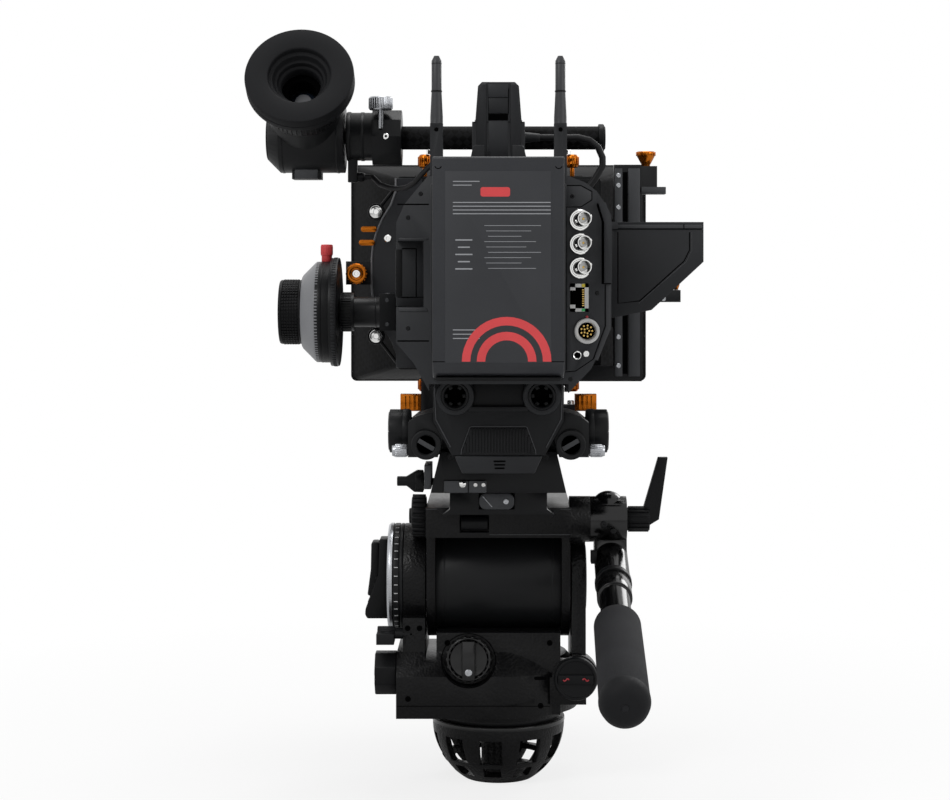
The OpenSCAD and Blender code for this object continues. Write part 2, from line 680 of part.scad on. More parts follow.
module door_hinge(grow) {
  zrod(lens_z + door_z[0] - grow, lens_z + door_z[1] + grow, hinge_r + grow, [-body_left, door_y[1]]);
  zrod(lens_z + door_z[0] - hinge_pin_len, lens_z + door_z[1] + hinge_pin_len,
    hinge_pin_r + min(grow, run_gap), [-body_left, door_y[1]]);
}

module chassis() color("#2f3033") {
  difference() {
    union() {
      difference() {
        along_y(rear_in, body_front) body_section(0);
        along_y(rear_in - cut, body_front - front_wall) body_hollow();
      }
      block([-body_left + body_wall - cut, rear_in, lens_z + recess_z[0] - recess_wall],
        [-body_left + recess_x + recess_wall, -body_rear + recess_y + recess_wall, lens_z + recess_z[1] + recess_wall]);
    }
    yrod(body_front - front_wall - cut, body_front + cut, mount_bore_r, [0, lens_z]);
    block([-body_left - cut, door_y[0] - face_gap, lens_z + door_z[0] - face_gap],
      [-body_left + door_t + face_gap, door_y[1] + face_gap, lens_z + door_z[1] + face_gap]);
    block([-body_left - cut, rear_in - cut, lens_z + recess_z[0]],
      [-body_left + recess_x, -body_rear + recess_y, lens_z + recess_z[1]]);
    yrod(rear_in - cut, -body_rear + socket_t, power_r, [power_x, lens_z + power_z]);
    yrod(rear_in - cut, -body_rear + socket_t, jack_r, [jack_x, lens_z + jack_z]);
    door_hinge(face_gap);
  }
  block([body_right, display_y[0], lens_z + display_z[0]], [body_right + display_t, display_y[1], lens_z + display_z[1]]);
  both() antenna_lug();
  deck_end = evf_route[len(evf_route) - 1];
  zrod(deck_z - cut, deck_end.z, socket_boss_r, [deck_end.x, deck_end.y]);
  translate(handle_route[len(handle_route) - 1]) rotate([0, boss_lean_angle, 0]) zrod(-socket_boss_h, 0, socket_boss_r);
  for (y = [shade_y[0] - face_gap - shade_lug_t, shade_y[1] + face_gap])
    block([body_right - cut, y, shade_top - 2 * shade_pin_in], [shade_x + 2 * shade_pin_in, y + shade_lug_t, shade_top]);
  for (y = [shade_y[0] - face_gap - cut, shade_y[1] - shade_wall + face_gap])
    yrod(y, y + shade_wall + cut, shade_pin_r, [shade_x + shade_pin_in, shade_top - shade_pin_in]);
}

// Rear panel with a bumper rail at its right edge
guard_x = [66.5, 75.5];
guard_z = [-6.7, 47];
guard_d = 5;
lan_gap = 6;
lan_w = 12.2;
lan_x = [battery_w / 2 + lan_gap, battery_w / 2 + lan_gap + lan_w];
lan_z = [-26, -7];
socket_t = 15;
power_gap = 17.1;
power_x = battery_w / 2 + power_gap;
power_z = -38.8;
power_r = 7.6;
jack_gap = 10.5;
jack_x = battery_w / 2 + jack_gap;
jack_z = -55;
jack_r = 3.2;

module rear_panel() color("#303134") difference() {
  union() {
    along_y(-body_rear, rear_in) body_section(0);
    along_y(-body_rear - guard_d, -body_rear) translate([0, lens_z]) polygon([[guard_x[0], guard_z[1]],
      [guard_x[0] + guard_d, guard_z[1]], [guard_x[1], guard_z[1] - guard_d * 2.6], [guard_x[1], guard_z[0]],
      [guard_x[1] - guard_d, guard_z[0]], [guard_x[1] - guard_d, guard_z[1] - guard_d * 2.6]]);
  }
  block([-body_left - cut, -body_rear - cut, lens_z + recess_z[0]],
    [-body_left + recess_x, rear_in + cut, lens_z + recess_z[1]]);
  block([lan_x[0], -body_rear - cut, lens_z + lan_z[0]], [lan_x[1], rear_in + cut, lens_z + lan_z[1]]);
  yrod(-body_rear - cut, rear_in + cut, power_r, [power_x, lens_z + power_z]);
  yrod(-body_rear - cut, rear_in + cut, jack_r, [jack_x, lens_z + jack_z]);
}

bnc_gap = 12;
bnc_x = battery_w / 2 + bnc_gap;
bnc_z = [35.4, 19.4, 3.3];
bnc_base_r = 6.9;
bnc_base_d = 3;
bnc_r = 4.8;
bnc_len = 14;
bnc_lug_r = 1.1;
bnc_core_r = 3.9;
bnc_yaw_angle = 12;

module coax_sockets() for (z = bnc_z) translate([bnc_x, -body_rear, lens_z + z]) {
  yrod(-bnc_base_d, 0, bnc_base_r, [0, 0]);
  intersection() {
    rotate([0, 0, bnc_yaw_angle]) difference() {
      union() {
        yrod(-bnc_len, bnc_base_d, bnc_r, [0, 0]);
        xrod(-bnc_r - bnc_lug_r, bnc_r + bnc_lug_r, bnc_lug_r, [-bnc_len + bnc_r, 0]);
      }
      difference() {
        yrod(-bnc_len - cut, -bnc_base_d - cut, bnc_core_r, [0, 0]);
        yrod(-bnc_len, -bnc_base_d, bnc_lug_r, [0, 0]);
      }
    }
    block([-bnc_len, -bnc_len - bnc_r, -bnc_len], [bnc_len, 0, bnc_len]);
  }
}

socket_wall = 1.6;
pin_r = 0.6;
pin_count = 8;
pin_ring_r = 3.5;
module rear_sockets() color("#b9bcbe") {
  coax_sockets();
  difference() {
    block([lan_x[0], -body_rear - cut, lens_z + lan_z[0]], [lan_x[1], -body_rear + socket_t, lens_z + lan_z[1]]);
    block([lan_x[0] + socket_wall, -body_rear - 2 * cut, lens_z + lan_z[0] + 2 * socket_wall],
      [lan_x[1] - socket_wall, -body_rear + socket_t - socket_wall, lens_z + lan_z[1] - 2 * socket_wall]);
  }
  difference() {
    yrod(-body_rear - cut, -body_rear + socket_t, power_r, [power_x, lens_z + power_z]);
    yrod(-body_rear - 2 * cut, -body_rear + socket_t - 2 * socket_wall, power_r - socket_wall, [power_x, lens_z + power_z]);
  }
  for (i = [0:pin_count - 1]) yrod(-body_rear + socket_t / 2, -body_rear + socket_t - socket_wall, pin_r,
    [power_x + pin_ring_r * cos(i * 360 / pin_count), lens_z + power_z + pin_ring_r * sin(i * 360 / pin_count)]);
  difference() {
    yrod(-body_rear - cut, -body_rear + socket_t, jack_r, [jack_x, lens_z + jack_z]);
    yrod(-body_rear - 2 * cut, -body_rear + socket_t - socket_wall, jack_r - socket_wall, [jack_x, lens_z + jack_z]);
  }
}

// Inside the body
sensor_w = 32;
sensor_h = 24;
sensor_d = 18;
glass_w = 17;
glass_h = 10;
board_y = -60;
board_t = 4;
board_z = [-32, 28];
fan_r = 27;
fan_hub_r = 11;
fan_gap = 3;
fan_d = 12;
fan_pin_r = 2;
blade_count = 7;
blade_t = 1.6;
blade_pitch_angle = 35;

module sensor_unit() color("#39444a") difference() {
  mid_block(sensor_w, [body_front - front_wall - sensor_d, body_front - front_wall], [lens_z - sensor_h, lens_z + sensor_h]);
  mid_block(glass_w, [body_front - front_wall - sensor_d / 3, body_front], [lens_z - glass_h, lens_z + glass_h]);
}

module main_board() color("#1f4a33") {
  block([-body_left + body_wall, board_y, lens_z + board_z[0]],
    [body_right - body_wall, board_y + board_t, lens_z + board_z[1]]);
  yrod(board_y - fan_gap - fan_d, board_y, fan_pin_r, [0, lens_z]);
}

module cooling_fan() color("#202224") difference() {
  union() {
    yrod(board_y - fan_gap - fan_d, board_y - fan_gap, fan_hub_r, [0, lens_z]);
    for (i = [0:blade_count - 1]) translate([0, board_y - fan_gap - fan_d / 2, lens_z])
      rotate([0, i * 360 / blade_count, 0]) rotate([0, 0, blade_pitch_angle])
        block([-blade_t / 2, -fan_d / 2, fan_hub_r - cut], [blade_t / 2, fan_d / 2, fan_r]);
  }
  yrod(board_y - fan_gap - fan_d - cut, board_y, fan_pin_r + run_gap, [0, lens_z]);
}

mount_r = 36;
mount_d = 6;
module lens_mount() color("#aeb1b4") difference() {
  yrod(body_front, body_front + mount_d, mount_r, [0, lens_z]);
  yrod(body_front - cut, body_front + mount_d + cut, mount_bore_r, [0, lens_z]);
}

// Battery, its plate and its release
battery_up = 74.2;
battery_top = lens_z + battery_up;
battery_low = battery_top - battery_h;
battery_y = [-body_rear - battery_plate_d - battery_d, -body_rear - battery_plate_d];
plate_trim = 1;
battery_edge = 4;
release_z = [7, 26];
release_w = 4;
release_d = 9;
release_travel = 2;
waist = 5;
wedge_foot = 2;

module battery_plate() color("#26272a") difference() {
  union() {
    mid_block(battery_w / 2 - plate_trim, [battery_y[1] + plate_trim / 2, -body_rear], [battery_low - battery_edge, lens_z + body_up]);
    mid_block(battery_w / 2 + plate_trim, [-body_rear - battery_edge, -body_rear], [battery_low - battery_edge, battery_top - battery_edge]);
  }
  block([-battery_w / 2 - waist, -body_rear - battery_edge - release_d - face_gap, lens_z + release_z[0] - face_gap],
    [-battery_w / 2 + waist + release_travel, -body_rear - battery_edge + face_gap, lens_z + release_z[1] + face_gap]);
}

module battery() color("#34353a") along_x(-battery_w / 2, battery_w / 2) polygon([
  [battery_y[1], battery_low], [battery_y[0] + battery_edge * 3, battery_low], [battery_y[0] + battery_edge, battery_low + battery_edge],
  [battery_y[0], battery_low + battery_edge * 2.6], [battery_y[0], battery_top - plate_trim], [battery_y[0] + plate_trim, battery_top], [battery_y[1], battery_top]]);

module battery_release() color("#c3272d") block([-battery_w / 2 - wedge_foot, -body_rear - battery_edge - release_d, lens_z + release_z[0]],
  [-battery_w / 2 + waist - face_gap, -body_rear - battery_edge, lens_z + release_z[1]]);

// Antennas: a hinge eye at the foot, a tapered shell above
antenna_tip_r = 3.4;
antenna_step_z = 26;
module antenna(side) translate([side * antenna_x, antenna_y, 0]) {
  translate([0, 0, antenna_z]) rotate_extrude() polygon([[0, 0], [antenna_r, 0], [antenna_r, antenna_step_z / 3],
    [antenna_tip_r, antenna_step_z], [antenna_tip_r, antenna_len - antenna_tip_r], [antenna_tip_r / 2, antenna_len], [0, antenna_len]]);
  yrod(-antenna_r, antenna_r, antenna_r, [0, antenna_z]);
  yrod(-antenna_lug_w, antenna_lug_w, antenna_pin_r, [0, antenna_z]);
}
module antenna_left() color("#2a2b2e") antenna(-1);
module antenna_right() color("#2a2b2e") antenna(1);

// Top handle: two posts under a grip, with the bore of the viewfinder rod in the front post
handle_y0 = -150;
handle_foot_w = 18.3;
grip_h = 17;
rear_post = 34;
front_post = 42;
evf_y = 20;
evf_z = lens_z + evf_rod_rise;
foot_h = 5;
foot_len = 30;
handle_thread_r = 2.6;
handle_thread_d = 10;
relief_r = 4;
lamp_half_w = 7.2;
lamp_d = 2;
handle_top = lens_z + handle_rise;
deck_z = lens_z + body_up;

handle_mid_w = 16.1;
handle_edge = 2.8;
module handle_front() along_y(handle_y0 - foot_h, handle_y0 + handle_len + 2 * foot_h) polygon([[-handle_mid_w, deck_z],
  [-handle_mid_w, evf_z], [-handle_w, handle_top - handle_edge], [-handle_w + handle_edge, handle_top],
  [handle_w - handle_edge, handle_top], [handle_w, handle_top - handle_edge], [handle_mid_w, evf_z], [handle_mid_w, deck_z]]);
module handle_side() intersection() { handle_front(); along_x(-handle_foot_w, handle_foot_w) difference() {
  polygon([[handle_y0, deck_z + foot_h], [handle_y0, handle_top], [handle_y0 + handle_len, handle_top],
    [handle_y0 + handle_len + foot_h, evf_z], [handle_y0 + handle_len, deck_z + foot_h]]);
  translate([handle_y0 + rear_post, deck_z + foot_h - cut])
    square([handle_len - rear_post - front_post, handle_rise - body_up - grip_h - foot_h + cut]);
} }

module top_handle() color("#26272a") difference() {
  union() {
    handle_side();
    for (y = [[handle_y0 - foot_h, handle_y0 + foot_len], [handle_y0 + handle_len - front_post, handle_y0 + handle_len + foot_h]])
      mid_block(handle_foot_w, y, [deck_z, deck_z + foot_h + cut]);
    mid_block(handle_foot_w, [handle_y0, handle_y0 + rear_post - foot_h], [deck_z + foot_h, evf_z]);
    xrod(-handle_foot_w, handle_foot_w, evf_rod_r + foot_h, [evf_y, evf_z]);
    translate([handle_foot_w - cut, handle_route[0].y, handle_route[0].z]) rotate([0, 90, 0])
      cylinder(h = handle_route[0].x - handle_foot_w + cut, r1 = relief_r, r2 = handle_cable_r + face_gap);
  }
  mid_block(lamp_half_w, [handle_y0 - cut, handle_y0 + lamp_d], [evf_z + foot_h, handle_top - foot_h]);
  xrod(-handle_foot_w - cut, handle_foot_w + cut, evf_rod_r + run_gap, [evf_y, evf_z]);
  zrod(handle_top - handle_thread_d, handle_top + cut, handle_thread_r, [0, -body_rear / 4]);
}

// Monitor door on the left, hinged at its front edge
door_tab_z = [-16.5, 16];
door_tab_len = 6;
door_tab_d = 1.2;
module monitor_door() color("#303134") {
  block([-body_left, door_y[0], lens_z + door_z[0]], [-body_left + door_t, door_y[1], lens_z + door_z[1]]);
  block([-body_left - door_tab_d, door_y[0], lens_z + door_tab_z[0]], [-body_left, door_y[0] + door_tab_len, lens_z + door_tab_z[1]]);
  door_hinge(0);
}

// Sunshade: a roof and two wings round the side display
shade_x = body_right + display_t + face_gap;
shade_rear = 100;
shade_y = [-shade_rear, shade_len - shade_rear];
shade_up = 36.5;
shade_top = lens_z + shade_up;
shade_low = 68.5;
shade_wall = 2.6;
shade_lip = 3.6;
shade_shares = [[0, 0], [1, 0], [1, -0.416], [0.44, -0.92], [0.03, -1], [0, -1]];
function shade_floor(i) = [shade_shares[i - 1].x * shade_w, shade_shares[i - 1].y * shade_low];
module shade_outline() translate([shade_x, shade_top]) polygon([for (p = shade_shares) [p.x * shade_w, p.y * shade_low]]);

module sunshade() color("#292a2d") difference() {
  shade_form();
  for (y = [shade_y[0] - cut, shade_y[1] - shade_wall - cut])
    yrod(y, y + shade_wall + 2 * cut, shade_pin_r + run_gap, [shade_x + shade_pin_in, shade_top - shade_pin_in]);
}
module shade_form() {
  for (y = [shade_y[0], shade_y[1] - shade_wall]) along_y(y, y + shade_wall) shade_outline();
  block([shade_x, shade_y[0], shade_top - shade_lip], [shade_x + shade_w, shade_y[1], shade_top]);
  along_y(shade_y[0], shade_y[1]) translate([shade_x, shade_top]) polygon([shade_floor(4), shade_floor(5),
    shade_floor(5) + [0, shade_wall], shade_floor(4) + [0, shade_wall]]);
}

// Lens: barrel, front glass and the toothed focus ring
lens_rear = body_front + mount_d;
ring_y = [60, 78];
ring_seat_r = 46;
lens_bore_r = 26;
lens_mouth_r = 41;
mouth_d = 22;
glass_d = 12;
glass_y = lens_front - mouth_d;
glass_bulge_r = 90;
pitch_r = gear_module * ring_count / 2;
pinion_r = gear_module * pinion_count / 2;
tooth_up_share = 0.8;
tooth_down_share = 1.1;
root_half_share = 0.30;
tip_half_share = 0.13;

function gear_points(count) = [for (i = [0:count - 1], k = [0:3]) let (
  pitch = gear_module * count / 2,
  r = pitch + gear_module * (k == 0 || k == 3 ? -tooth_down_share : tooth_up_share),
  half = (k == 0 || k == 3 ? root_half_share : tip_half_share) * 360 / count,
  a = i * 360 / count + (k < 2 ? -half : half)) [r * cos(a), r * sin(a)]];

module lens_barrel() color("#1d1e20") {
  yturn([0, lens_z]) polygon([[lens_bore_r, lens_rear], [mount_r, lens_rear], [mount_r, lens_rear + mount_d], [lens_r - mount_d, lens_rear + 2 * mount_d],
    [lens_r - mount_d / 2, ring_y[0] - mount_d], [lens_r, ring_y[0] - cut], [lens_r, ring_y[0] - face_gap], [ring_seat_r, ring_y[0] - face_gap],
    [ring_seat_r, ring_y[1] + face_gap], [lens_r, ring_y[1] + face_gap], [lens_r, lens_front], [lens_mouth_r, lens_front],
    [lens_mouth_r, lens_front - mouth_d], [lens_bore_r, lens_front - mouth_d - mount_d]]);
}

module lens_glass() color("#31414d") yturn([0, lens_z]) intersection() {
  translate([0, glass_y]) square([lens_mouth_r - run_gap, glass_d]);
  translate([0, glass_y + glass_d - glass_bulge_r]) circle(r = glass_bulge_r, $fn = 192);
}

focus_angle = atan2(-focus_drop, -sqrt(pow(pitch_r + pinion_r, 2) - focus_drop * focus_drop));
pinion_x = (pitch_r + pinion_r) * cos(focus_angle);
focus_z = lens_z - focus_drop;

module focus_ring() color("#141416") difference() {
  along_y(ring_y[0], ring_y[1]) translate([0, lens_z]) rotate(focus_angle) polygon(gear_points(ring_count));
  yrod(ring_y[0] - cut, ring_y[1] + cut, ring_seat_r + run_gap, [0, lens_z]);
}

// Follow focus: pinion, gearbox on its rod bracket, index ring and handwheel
pinion_y = [62, 76];
pinion_shaft_r = 5;
focus_y = 70;
box_x = -81.3;
box_w = 12.7;
box_half = 14.5;
box_wall = 4;
neck_x = -115.6;
neck_r = 12;
collar_r = 15.2;
collar_w = 10;
shaft_r = 6;
shaft_end = -126;
index_x = [-143.7, -131.6];
flange_x = -126.5;
flange_r = 43;
hub_reach = 9;
pin_x = -136.7;
pin_h = 13.5;
red_pin_r = 4;
clamp_y = [80, 94];
clamp_half_w = 12;

module ff_gear() color("#17171a") {
  along_y(pinion_y[0], pinion_y[1]) translate([pinion_x, focus_z]) rotate(focus_angle + 180 + 180 / pinion_count)
    polygon(gear_points(pinion_count));
  yrod(pinion_y[1] - cut, clamp_y[1] - cut, pinion_shaft_r, [pinion_x, focus_z]);
}

module ff_gearbox() color("#1a1b1d") difference() {
  union() {
    block([box_x - box_w, focus_y - box_half, focus_z - box_half], [box_x, clamp_y[1], focus_z + box_half]);
    block([box_x - cut, clamp_y[0], focus_z - box_half], [pinion_x + pinion_shaft_r + box_wall, clamp_y[1], focus_z + box_half]);
    block([-studio_x - clamp_half_w, clamp_y[0], studio_z - clamp_half_w], [-studio_x + clamp_half_w, clamp_y[1], focus_z - box_half + cut]);
    xrod(neck_x, box_x - box_w + cut, neck_r, [focus_y, focus_z]);
    xrod(neck_x - collar_w, neck_x + cut, collar_r, [focus_y, focus_z]);
    xrod(index_x[0], index_x[1], disc_r, [focus_y, focus_z]);
    xrod(index_x[1] - cut, flange_x, flange_r, [focus_y, focus_z]);
    xrod(flange_x - cut, neck_x - collar_w + cut, hub_reach, [focus_y, focus_z]);
    zrod(focus_z + disc_r - cut, focus_z + disc_r + pin_h, red_pin_r, [pin_x, focus_y]);
  }
  yrod(clamp_y[0] - cut, clamp_y[1] + cut, rod_r + run_gap / 2, [-studio_x, studio_z]);
  yrod(clamp_y[0] - cut, clamp_y[1] - cut + run_gap, pinion_shaft_r + run_gap, [pinion_x, focus_z]);
  xrod(index_x[0] - cut, neck_x, shaft_r + run_gap, [focus_y, focus_z]);
}

wheel_x = [-173.8, -154.9];
cone_x = [-155.7, -144];
cone_r = 33;
module ff_handwheel() color("#4b4d50") {
  xrod(wheel_x[0], wheel_x[1], wheel_r, [focus_y, focus_z]);
  xturn([focus_y, focus_z]) polygon([[0, wheel_x[1] - cut], [cone_r, cone_x[0]], [disc_r, cone_x[1] - cut], [disc_r, cone_x[1]], [0, cone_x[1]]]);
  xrod(cone_x[1] - cut, shaft_end + cut, shaft_r, [focus_y, focus_z]);
}

// Viewfinder: rod, arm with its joint, housing and eyecup
evf_x = [-74.6, 77];
evf_cap_w = 4.5;
evf_cap_r = 10.4;
arm_x = [-97, -74.6];
arm_out_r = 22;
joint_x = -117;
joint_r = 18.5;
joint_pin_r = 6;
joint_pin_len = 14;
gland_r = 2.6;
gland_len = 6.5;
gland_block = 7;
module evf_rod() color("#1d1d1f") {
  xrod(evf_x[0], evf_x[1], evf_rod_r, [evf_y, evf_z]);
  xrod(evf_x[1], evf_x[1] + evf_cap_w, evf_cap_r, [evf_y, evf_z]);
}

module evf_arm() color("#1e1f21") difference() {
  union() {
    translate([arm_x[0], evf_y, evf_z]) rotate([0, 90, 0]) rotate(180 / 10) cylinder(h = arm_x[1] - arm_x[0], r = arm_out_r, $fn = 10);
    xrod(joint_x, arm_x[0] + cut, joint_r, [evf_y, evf_z + cut]);
    block([joint_x + cut, evf_y - 2 * gland_r, evf_route[0].z - 1.5 * gland_r],
      [joint_x + cut + gland_block, evf_y + 2 * gland_r, evf_z - joint_r / 2]);
    xrod(joint_x - joint_pin_len, joint_x + cut, joint_pin_r, [evf_y, evf_z + cut]);
    xrod(evf_route[0].x - gland_len, evf_route[0].x, gland_r, [evf_route[0].y, evf_route[0].z]);
  }
  zrod(evf_z + joint_r - clamp_bore_d, evf_z + joint_r + arm_out_r, clamp_bore_r + run_gap, [clamp_knob_x, clamp_knob_y]);
}
clamp_knob_x = -90;
clamp_knob_y = 2;
clamp_bore_r = 2.4;
clamp_bore_d = 14;
clamp_knob_r = 9;
clamp_knob_h = 10;
clamp_stem_h = 2;
module evf_clamp_knob() color("#b3b6b9") {
  zrod(evf_z + joint_r - clamp_bore_d + cut, evf_z + joint_r + clamp_stem_h, clamp_bore_r, [clamp_knob_x, clamp_knob_y]);
  zrod(evf_z + joint_r + clamp_stem_h - cut, evf_z + joint_r + clamp_stem_h + clamp_knob_h, clamp_knob_r, [clamp_knob_x, clamp_knob_y]);
}

housing_x = [-177, -118.5];
housing_r = 27;
tube_r = 28;
tube_from = -20;
tube_to = 49;
sight_rise = 8.6;
screen_w = 20;
cup_d = 26;
cup_shares = [[0.37, 0], [0.79, 0], [0.81, 0.2], [0.97, 0.44], [1, 0.5], [1, 0.95], [0.98, 1], [0.59, 1], [0.57, 0.96],
  [0.48, 0.6], [0.46, 0.5], [0.4, 0.44], [0.37, 0.2]];
eye_glass_r = 11;
bottom_w = 11;
bottom_z = [-32, -18];
housing_edge = 9;
bottom_y = [-8, 14];

// The line of sight: local +Z points from the joint towards the eye
module sight() translate([(housing_x[0] + housing_x[1]) / 2, evf_y, evf_z + sight_rise]) rotate([90 - eyecup_angle, 0, 0]) children();

module evf_housing() color("#202124") difference() {
  union() {
    translate([0, evf_y, evf_z]) rotate([0, 90, 0]) rotate_extrude() polygon([[0, housing_x[0]], [housing_r - housing_edge, housing_x[0]],
      [housing_r, housing_x[0] + housing_edge], [housing_r, housing_x[1]], [0, housing_x[1]]]);
    sight() zrod(tube_from, tube_to, tube_r);
    block([(housing_x[0] + housing_x[1]) / 2 - bottom_w, evf_y + bottom_y[0], evf_z + bottom_z[0]],
      [(housing_x[0] + housing_x[1]) / 2 + bottom_w, evf_y + bottom_y[1], evf_z + bottom_z[1]]);
  }
  xrod(joint_x - joint_pin_len - cut, housing_x[1] + cut, joint_pin_r + run_gap, [evf_y, evf_z + cut]);
  sight() zrod(tube_to - screen_w, tube_to + cut, eye_glass_r);
}

module evf_eyecup() color("#2a2a2c") sight() translate([0, 0, tube_to])
  rotate_extrude() polygon([for (p = cup_shares) [p.x * eyecup_r, p.y * cup_d]]);

// Matte box: stage with its round back, hood, tray and swing post
stage_y = [112, 128];
ring_plate_y = 104.3;
stage_bore_r = 57;
tray_y = [118.3, 123.7];
tray_w = 69;
tray_top = 80;
tray_low = 66;
tray_hole = 58;
arm_stage_x = [-124, -100];
arm_stage_h = 9.5;
swing_x = 104;
swing_y = 108;
swing_barrel_r = 6;
swing_pin_r = 3;
swing_z = [-44.5, 44.5];
lug_h = 20;
corner_r = 5;

module matte_stage() color("#202123") difference() {
  union() {
    along_y(stage_y[0], stage_y[1]) translate([0, lens_z]) rounded(stage_w, stage_h, corner_r);
    along_y(ring_plate_y, stage_y[0]) translate([0, lens_z]) {
      rounded(stage_w, stage_h, corner_r);
      intersection() {
        circle(r = stage_ring_r, $fn = 96);
        translate([-stage_ring_r, -stage_h]) square([stage_ring_r, 2 * stage_h]);
      }
    }
    block([arm_stage_x[0], ring_plate_y, lens_z - arm_stage_h], [arm_stage_x[1], stage_y[0], lens_z + arm_stage_h]);
    zrod(lens_z + swing_z[0] + face_gap, lens_z + swing_z[1] - face_gap, swing_barrel_r, [swing_x, swing_y]);
    block([stage_w - cut, ring_plate_y, lens_z + swing_z[0] + face_gap], [swing_x - swing_pin_r, stage_y[0], lens_z + swing_z[1] - face_gap]);
  }
  yrod(ring_plate_y - cut, stage_y[1] + cut, stage_bore_r, [0, lens_z]);
  mid_block(tray_w + face_gap, [tray_y[0] - face_gap, tray_y[1] + face_gap], [lens_z - tray_low - face_gap, lens_z + stage_h + cut]);
  zrod(lens_z + swing_z[0], lens_z + swing_z[1], swing_pin_r + run_gap, [swing_x, swing_y]);
}

module filter_tray() color("#2a2b2e") difference() {
  mid_block(tray_w, tray_y, [lens_z - tray_low, lens_z + tray_top]);
  mid_block(tray_hole, [tray_y[0] - cut, tray_y[1] + cut], [lens_z - tray_hole, lens_z + tray_hole]);
}

hood_wall = 2.5;
hood_back_w = 82;
hood_back_h = 77;
hood_lip = 2;
module hood_slab(y, w, h) along_y(y, y + hood_lip) translate([0, lens_z]) rounded(w, h, corner_r, $fn = 32);
module hood_form(trim, over) hull() {
  hood_slab(stage_y[1] - over, hood_back_w - trim, hood_back_h - trim);
  hood_slab(hood_front - hood_lip + over, hood_w - trim, hood_h - trim);
}
module matte_hood() color("#1e1f22") difference() {
  hood_form(0, 0);
  hood_form(hood_wall, cut);
}

post_x = [92.8, 115];
post_y = [84, 101];
post_z = [-87, 87];
bridge_y = [97, 109];
riser_x = [40, 53];
arm_h = 12;
web_x = 6;
top_x = [110.6, 127.6];
top_y = [86, 101];
seat_low = 63.5;
seat_up = 69;
clamp_up = 86;
seat_left = 105.7;
seat_right = 134.5;
top_z = [seat_up, clamp_up];
plate_x = [seat_left, seat_right];
plate_z = [seat_low, seat_up];
catch_x = 146.4;
catch_drop = 23.4;
catch_up = 13.7;
catch_z = [-catch_drop, -catch_up];
module swing_post() color("#232427") difference() {
  union() {
    block([post_x[0], post_y[0], lens_z + post_z[0]], [post_x[1], post_y[1], lens_z + post_z[1]]);
    block([top_x[0], top_y[0], lens_z + top_z[0]], [top_x[1], top_y[1], lens_z + top_z[1]]);
    block([plate_x[0], top_y[0] - cut, lens_z + plate_z[0]], [plate_x[1], top_y[1], lens_z + plate_z[1]]);
    for (z = [swing_z[0] - lug_h, swing_z[1]]) {
      zrod(lens_z + z, lens_z + z + lug_h, swing_barrel_r, [swing_x, swing_y]);
      block([swing_x - web_x, post_y[1] - cut, lens_z + z], [swing_x + web_x, swing_y, lens_z + z + lug_h]);
    }
    zrod(lens_z + swing_z[0] - cut, lens_z + swing_z[1] + cut, swing_pin_r, [swing_x, swing_y]);
    mid_block(studio_x + clamp_half_w, bridge_y, [studio_z - clamp_half_w, studio_z + clamp_half_w]);
    block([riser_x[0], bridge_y[0], studio_z], [riser_x[1], ring_plate_y - face_gap, lens_z + post_z[0] + arm_h]);
    block([riser_x[0], post_y[0], lens_z + post_z[0]], [post_x[1], post_y[1] - cut, lens_z + post_z[0] + arm_h]);
    block([post_x[1] - cut, post_y[0] + cut, lens_z + catch_z[0]], [catch_x, post_y[1] - cut, lens_z + catch_z[1]]);
  }
  for (side = [-1, 1]) yrod(bridge_y[0] - cut, bridge_y[1] + cut, rod_r + run_gap / 2, [side * studio_x, studio_z]);
}

// Orange knobs and wing levers: corner knobs, side knob, post knob and rod levers
corner_x = 60;
corner_top = 91;
corner_low = -91;
corner_knob_r = 5.6;
corner_y = 108;
stem_r = 2;
side_knob_x = -116.5;
side_knob_r = 8;
side_knob_d = 12;
post_knob_x = 119.5;
post_knob_r = [4.6, 6.4];
post_knob_h = 10;
post_knob_stem = 1.5;
wing_out = 17;
wing_z = [-112, -98];
catch_knob_x = 143.4;
catch_knob_r = 2.9;
catch_knob_h = 8;
module stage_knobs() color("#c8640a") {
  both() for (z = [[stage_h, corner_top], [corner_low, -stage_h]])
    zrod(lens_z + z[0], lens_z + z[1], stem_r, [corner_x, corner_y]);
  both() for (z = [corner_top, corner_low])
    zrod(lens_z + z - corner_knob_r, lens_z + z + corner_knob_r, corner_knob_r, [corner_x, corner_y]);
  difference() {
    yrod(ring_plate_y - side_knob_d, ring_plate_y, side_knob_r, [side_knob_x, lens_z]);
    yrod(ring_plate_y - side_knob_d - cut, ring_plate_y - side_knob_d / 2, side_knob_r - stem_r, [side_knob_x, lens_z]);
  }
}

post_knob_y = (top_y[0] + post_y[1]) / 2;
module rig_knobs() color("#c8640a") {
  zrod(lens_z + top_z[1], lens_z + top_z[1] + post_knob_stem, stem_r, [post_knob_x, post_knob_y]);
  translate([post_knob_x, post_knob_y, lens_z + top_z[1] + post_knob_stem])
    cylinder(h = post_knob_h, r1 = post_knob_r[0], r2 = post_knob_r[1]);
  zrod(lens_z + catch_z[1], lens_z + catch_z[1] + catch_knob_h, catch_knob_r, [catch_knob_x, post_knob_y]);
  both() block([studio_x + clamp_half_w, bridge_y[0], lens_z + wing_z[0]],
    [studio_x + clamp_half_w + wing_out, bridge_y[1], lens_z + wing_z[1]]);
}

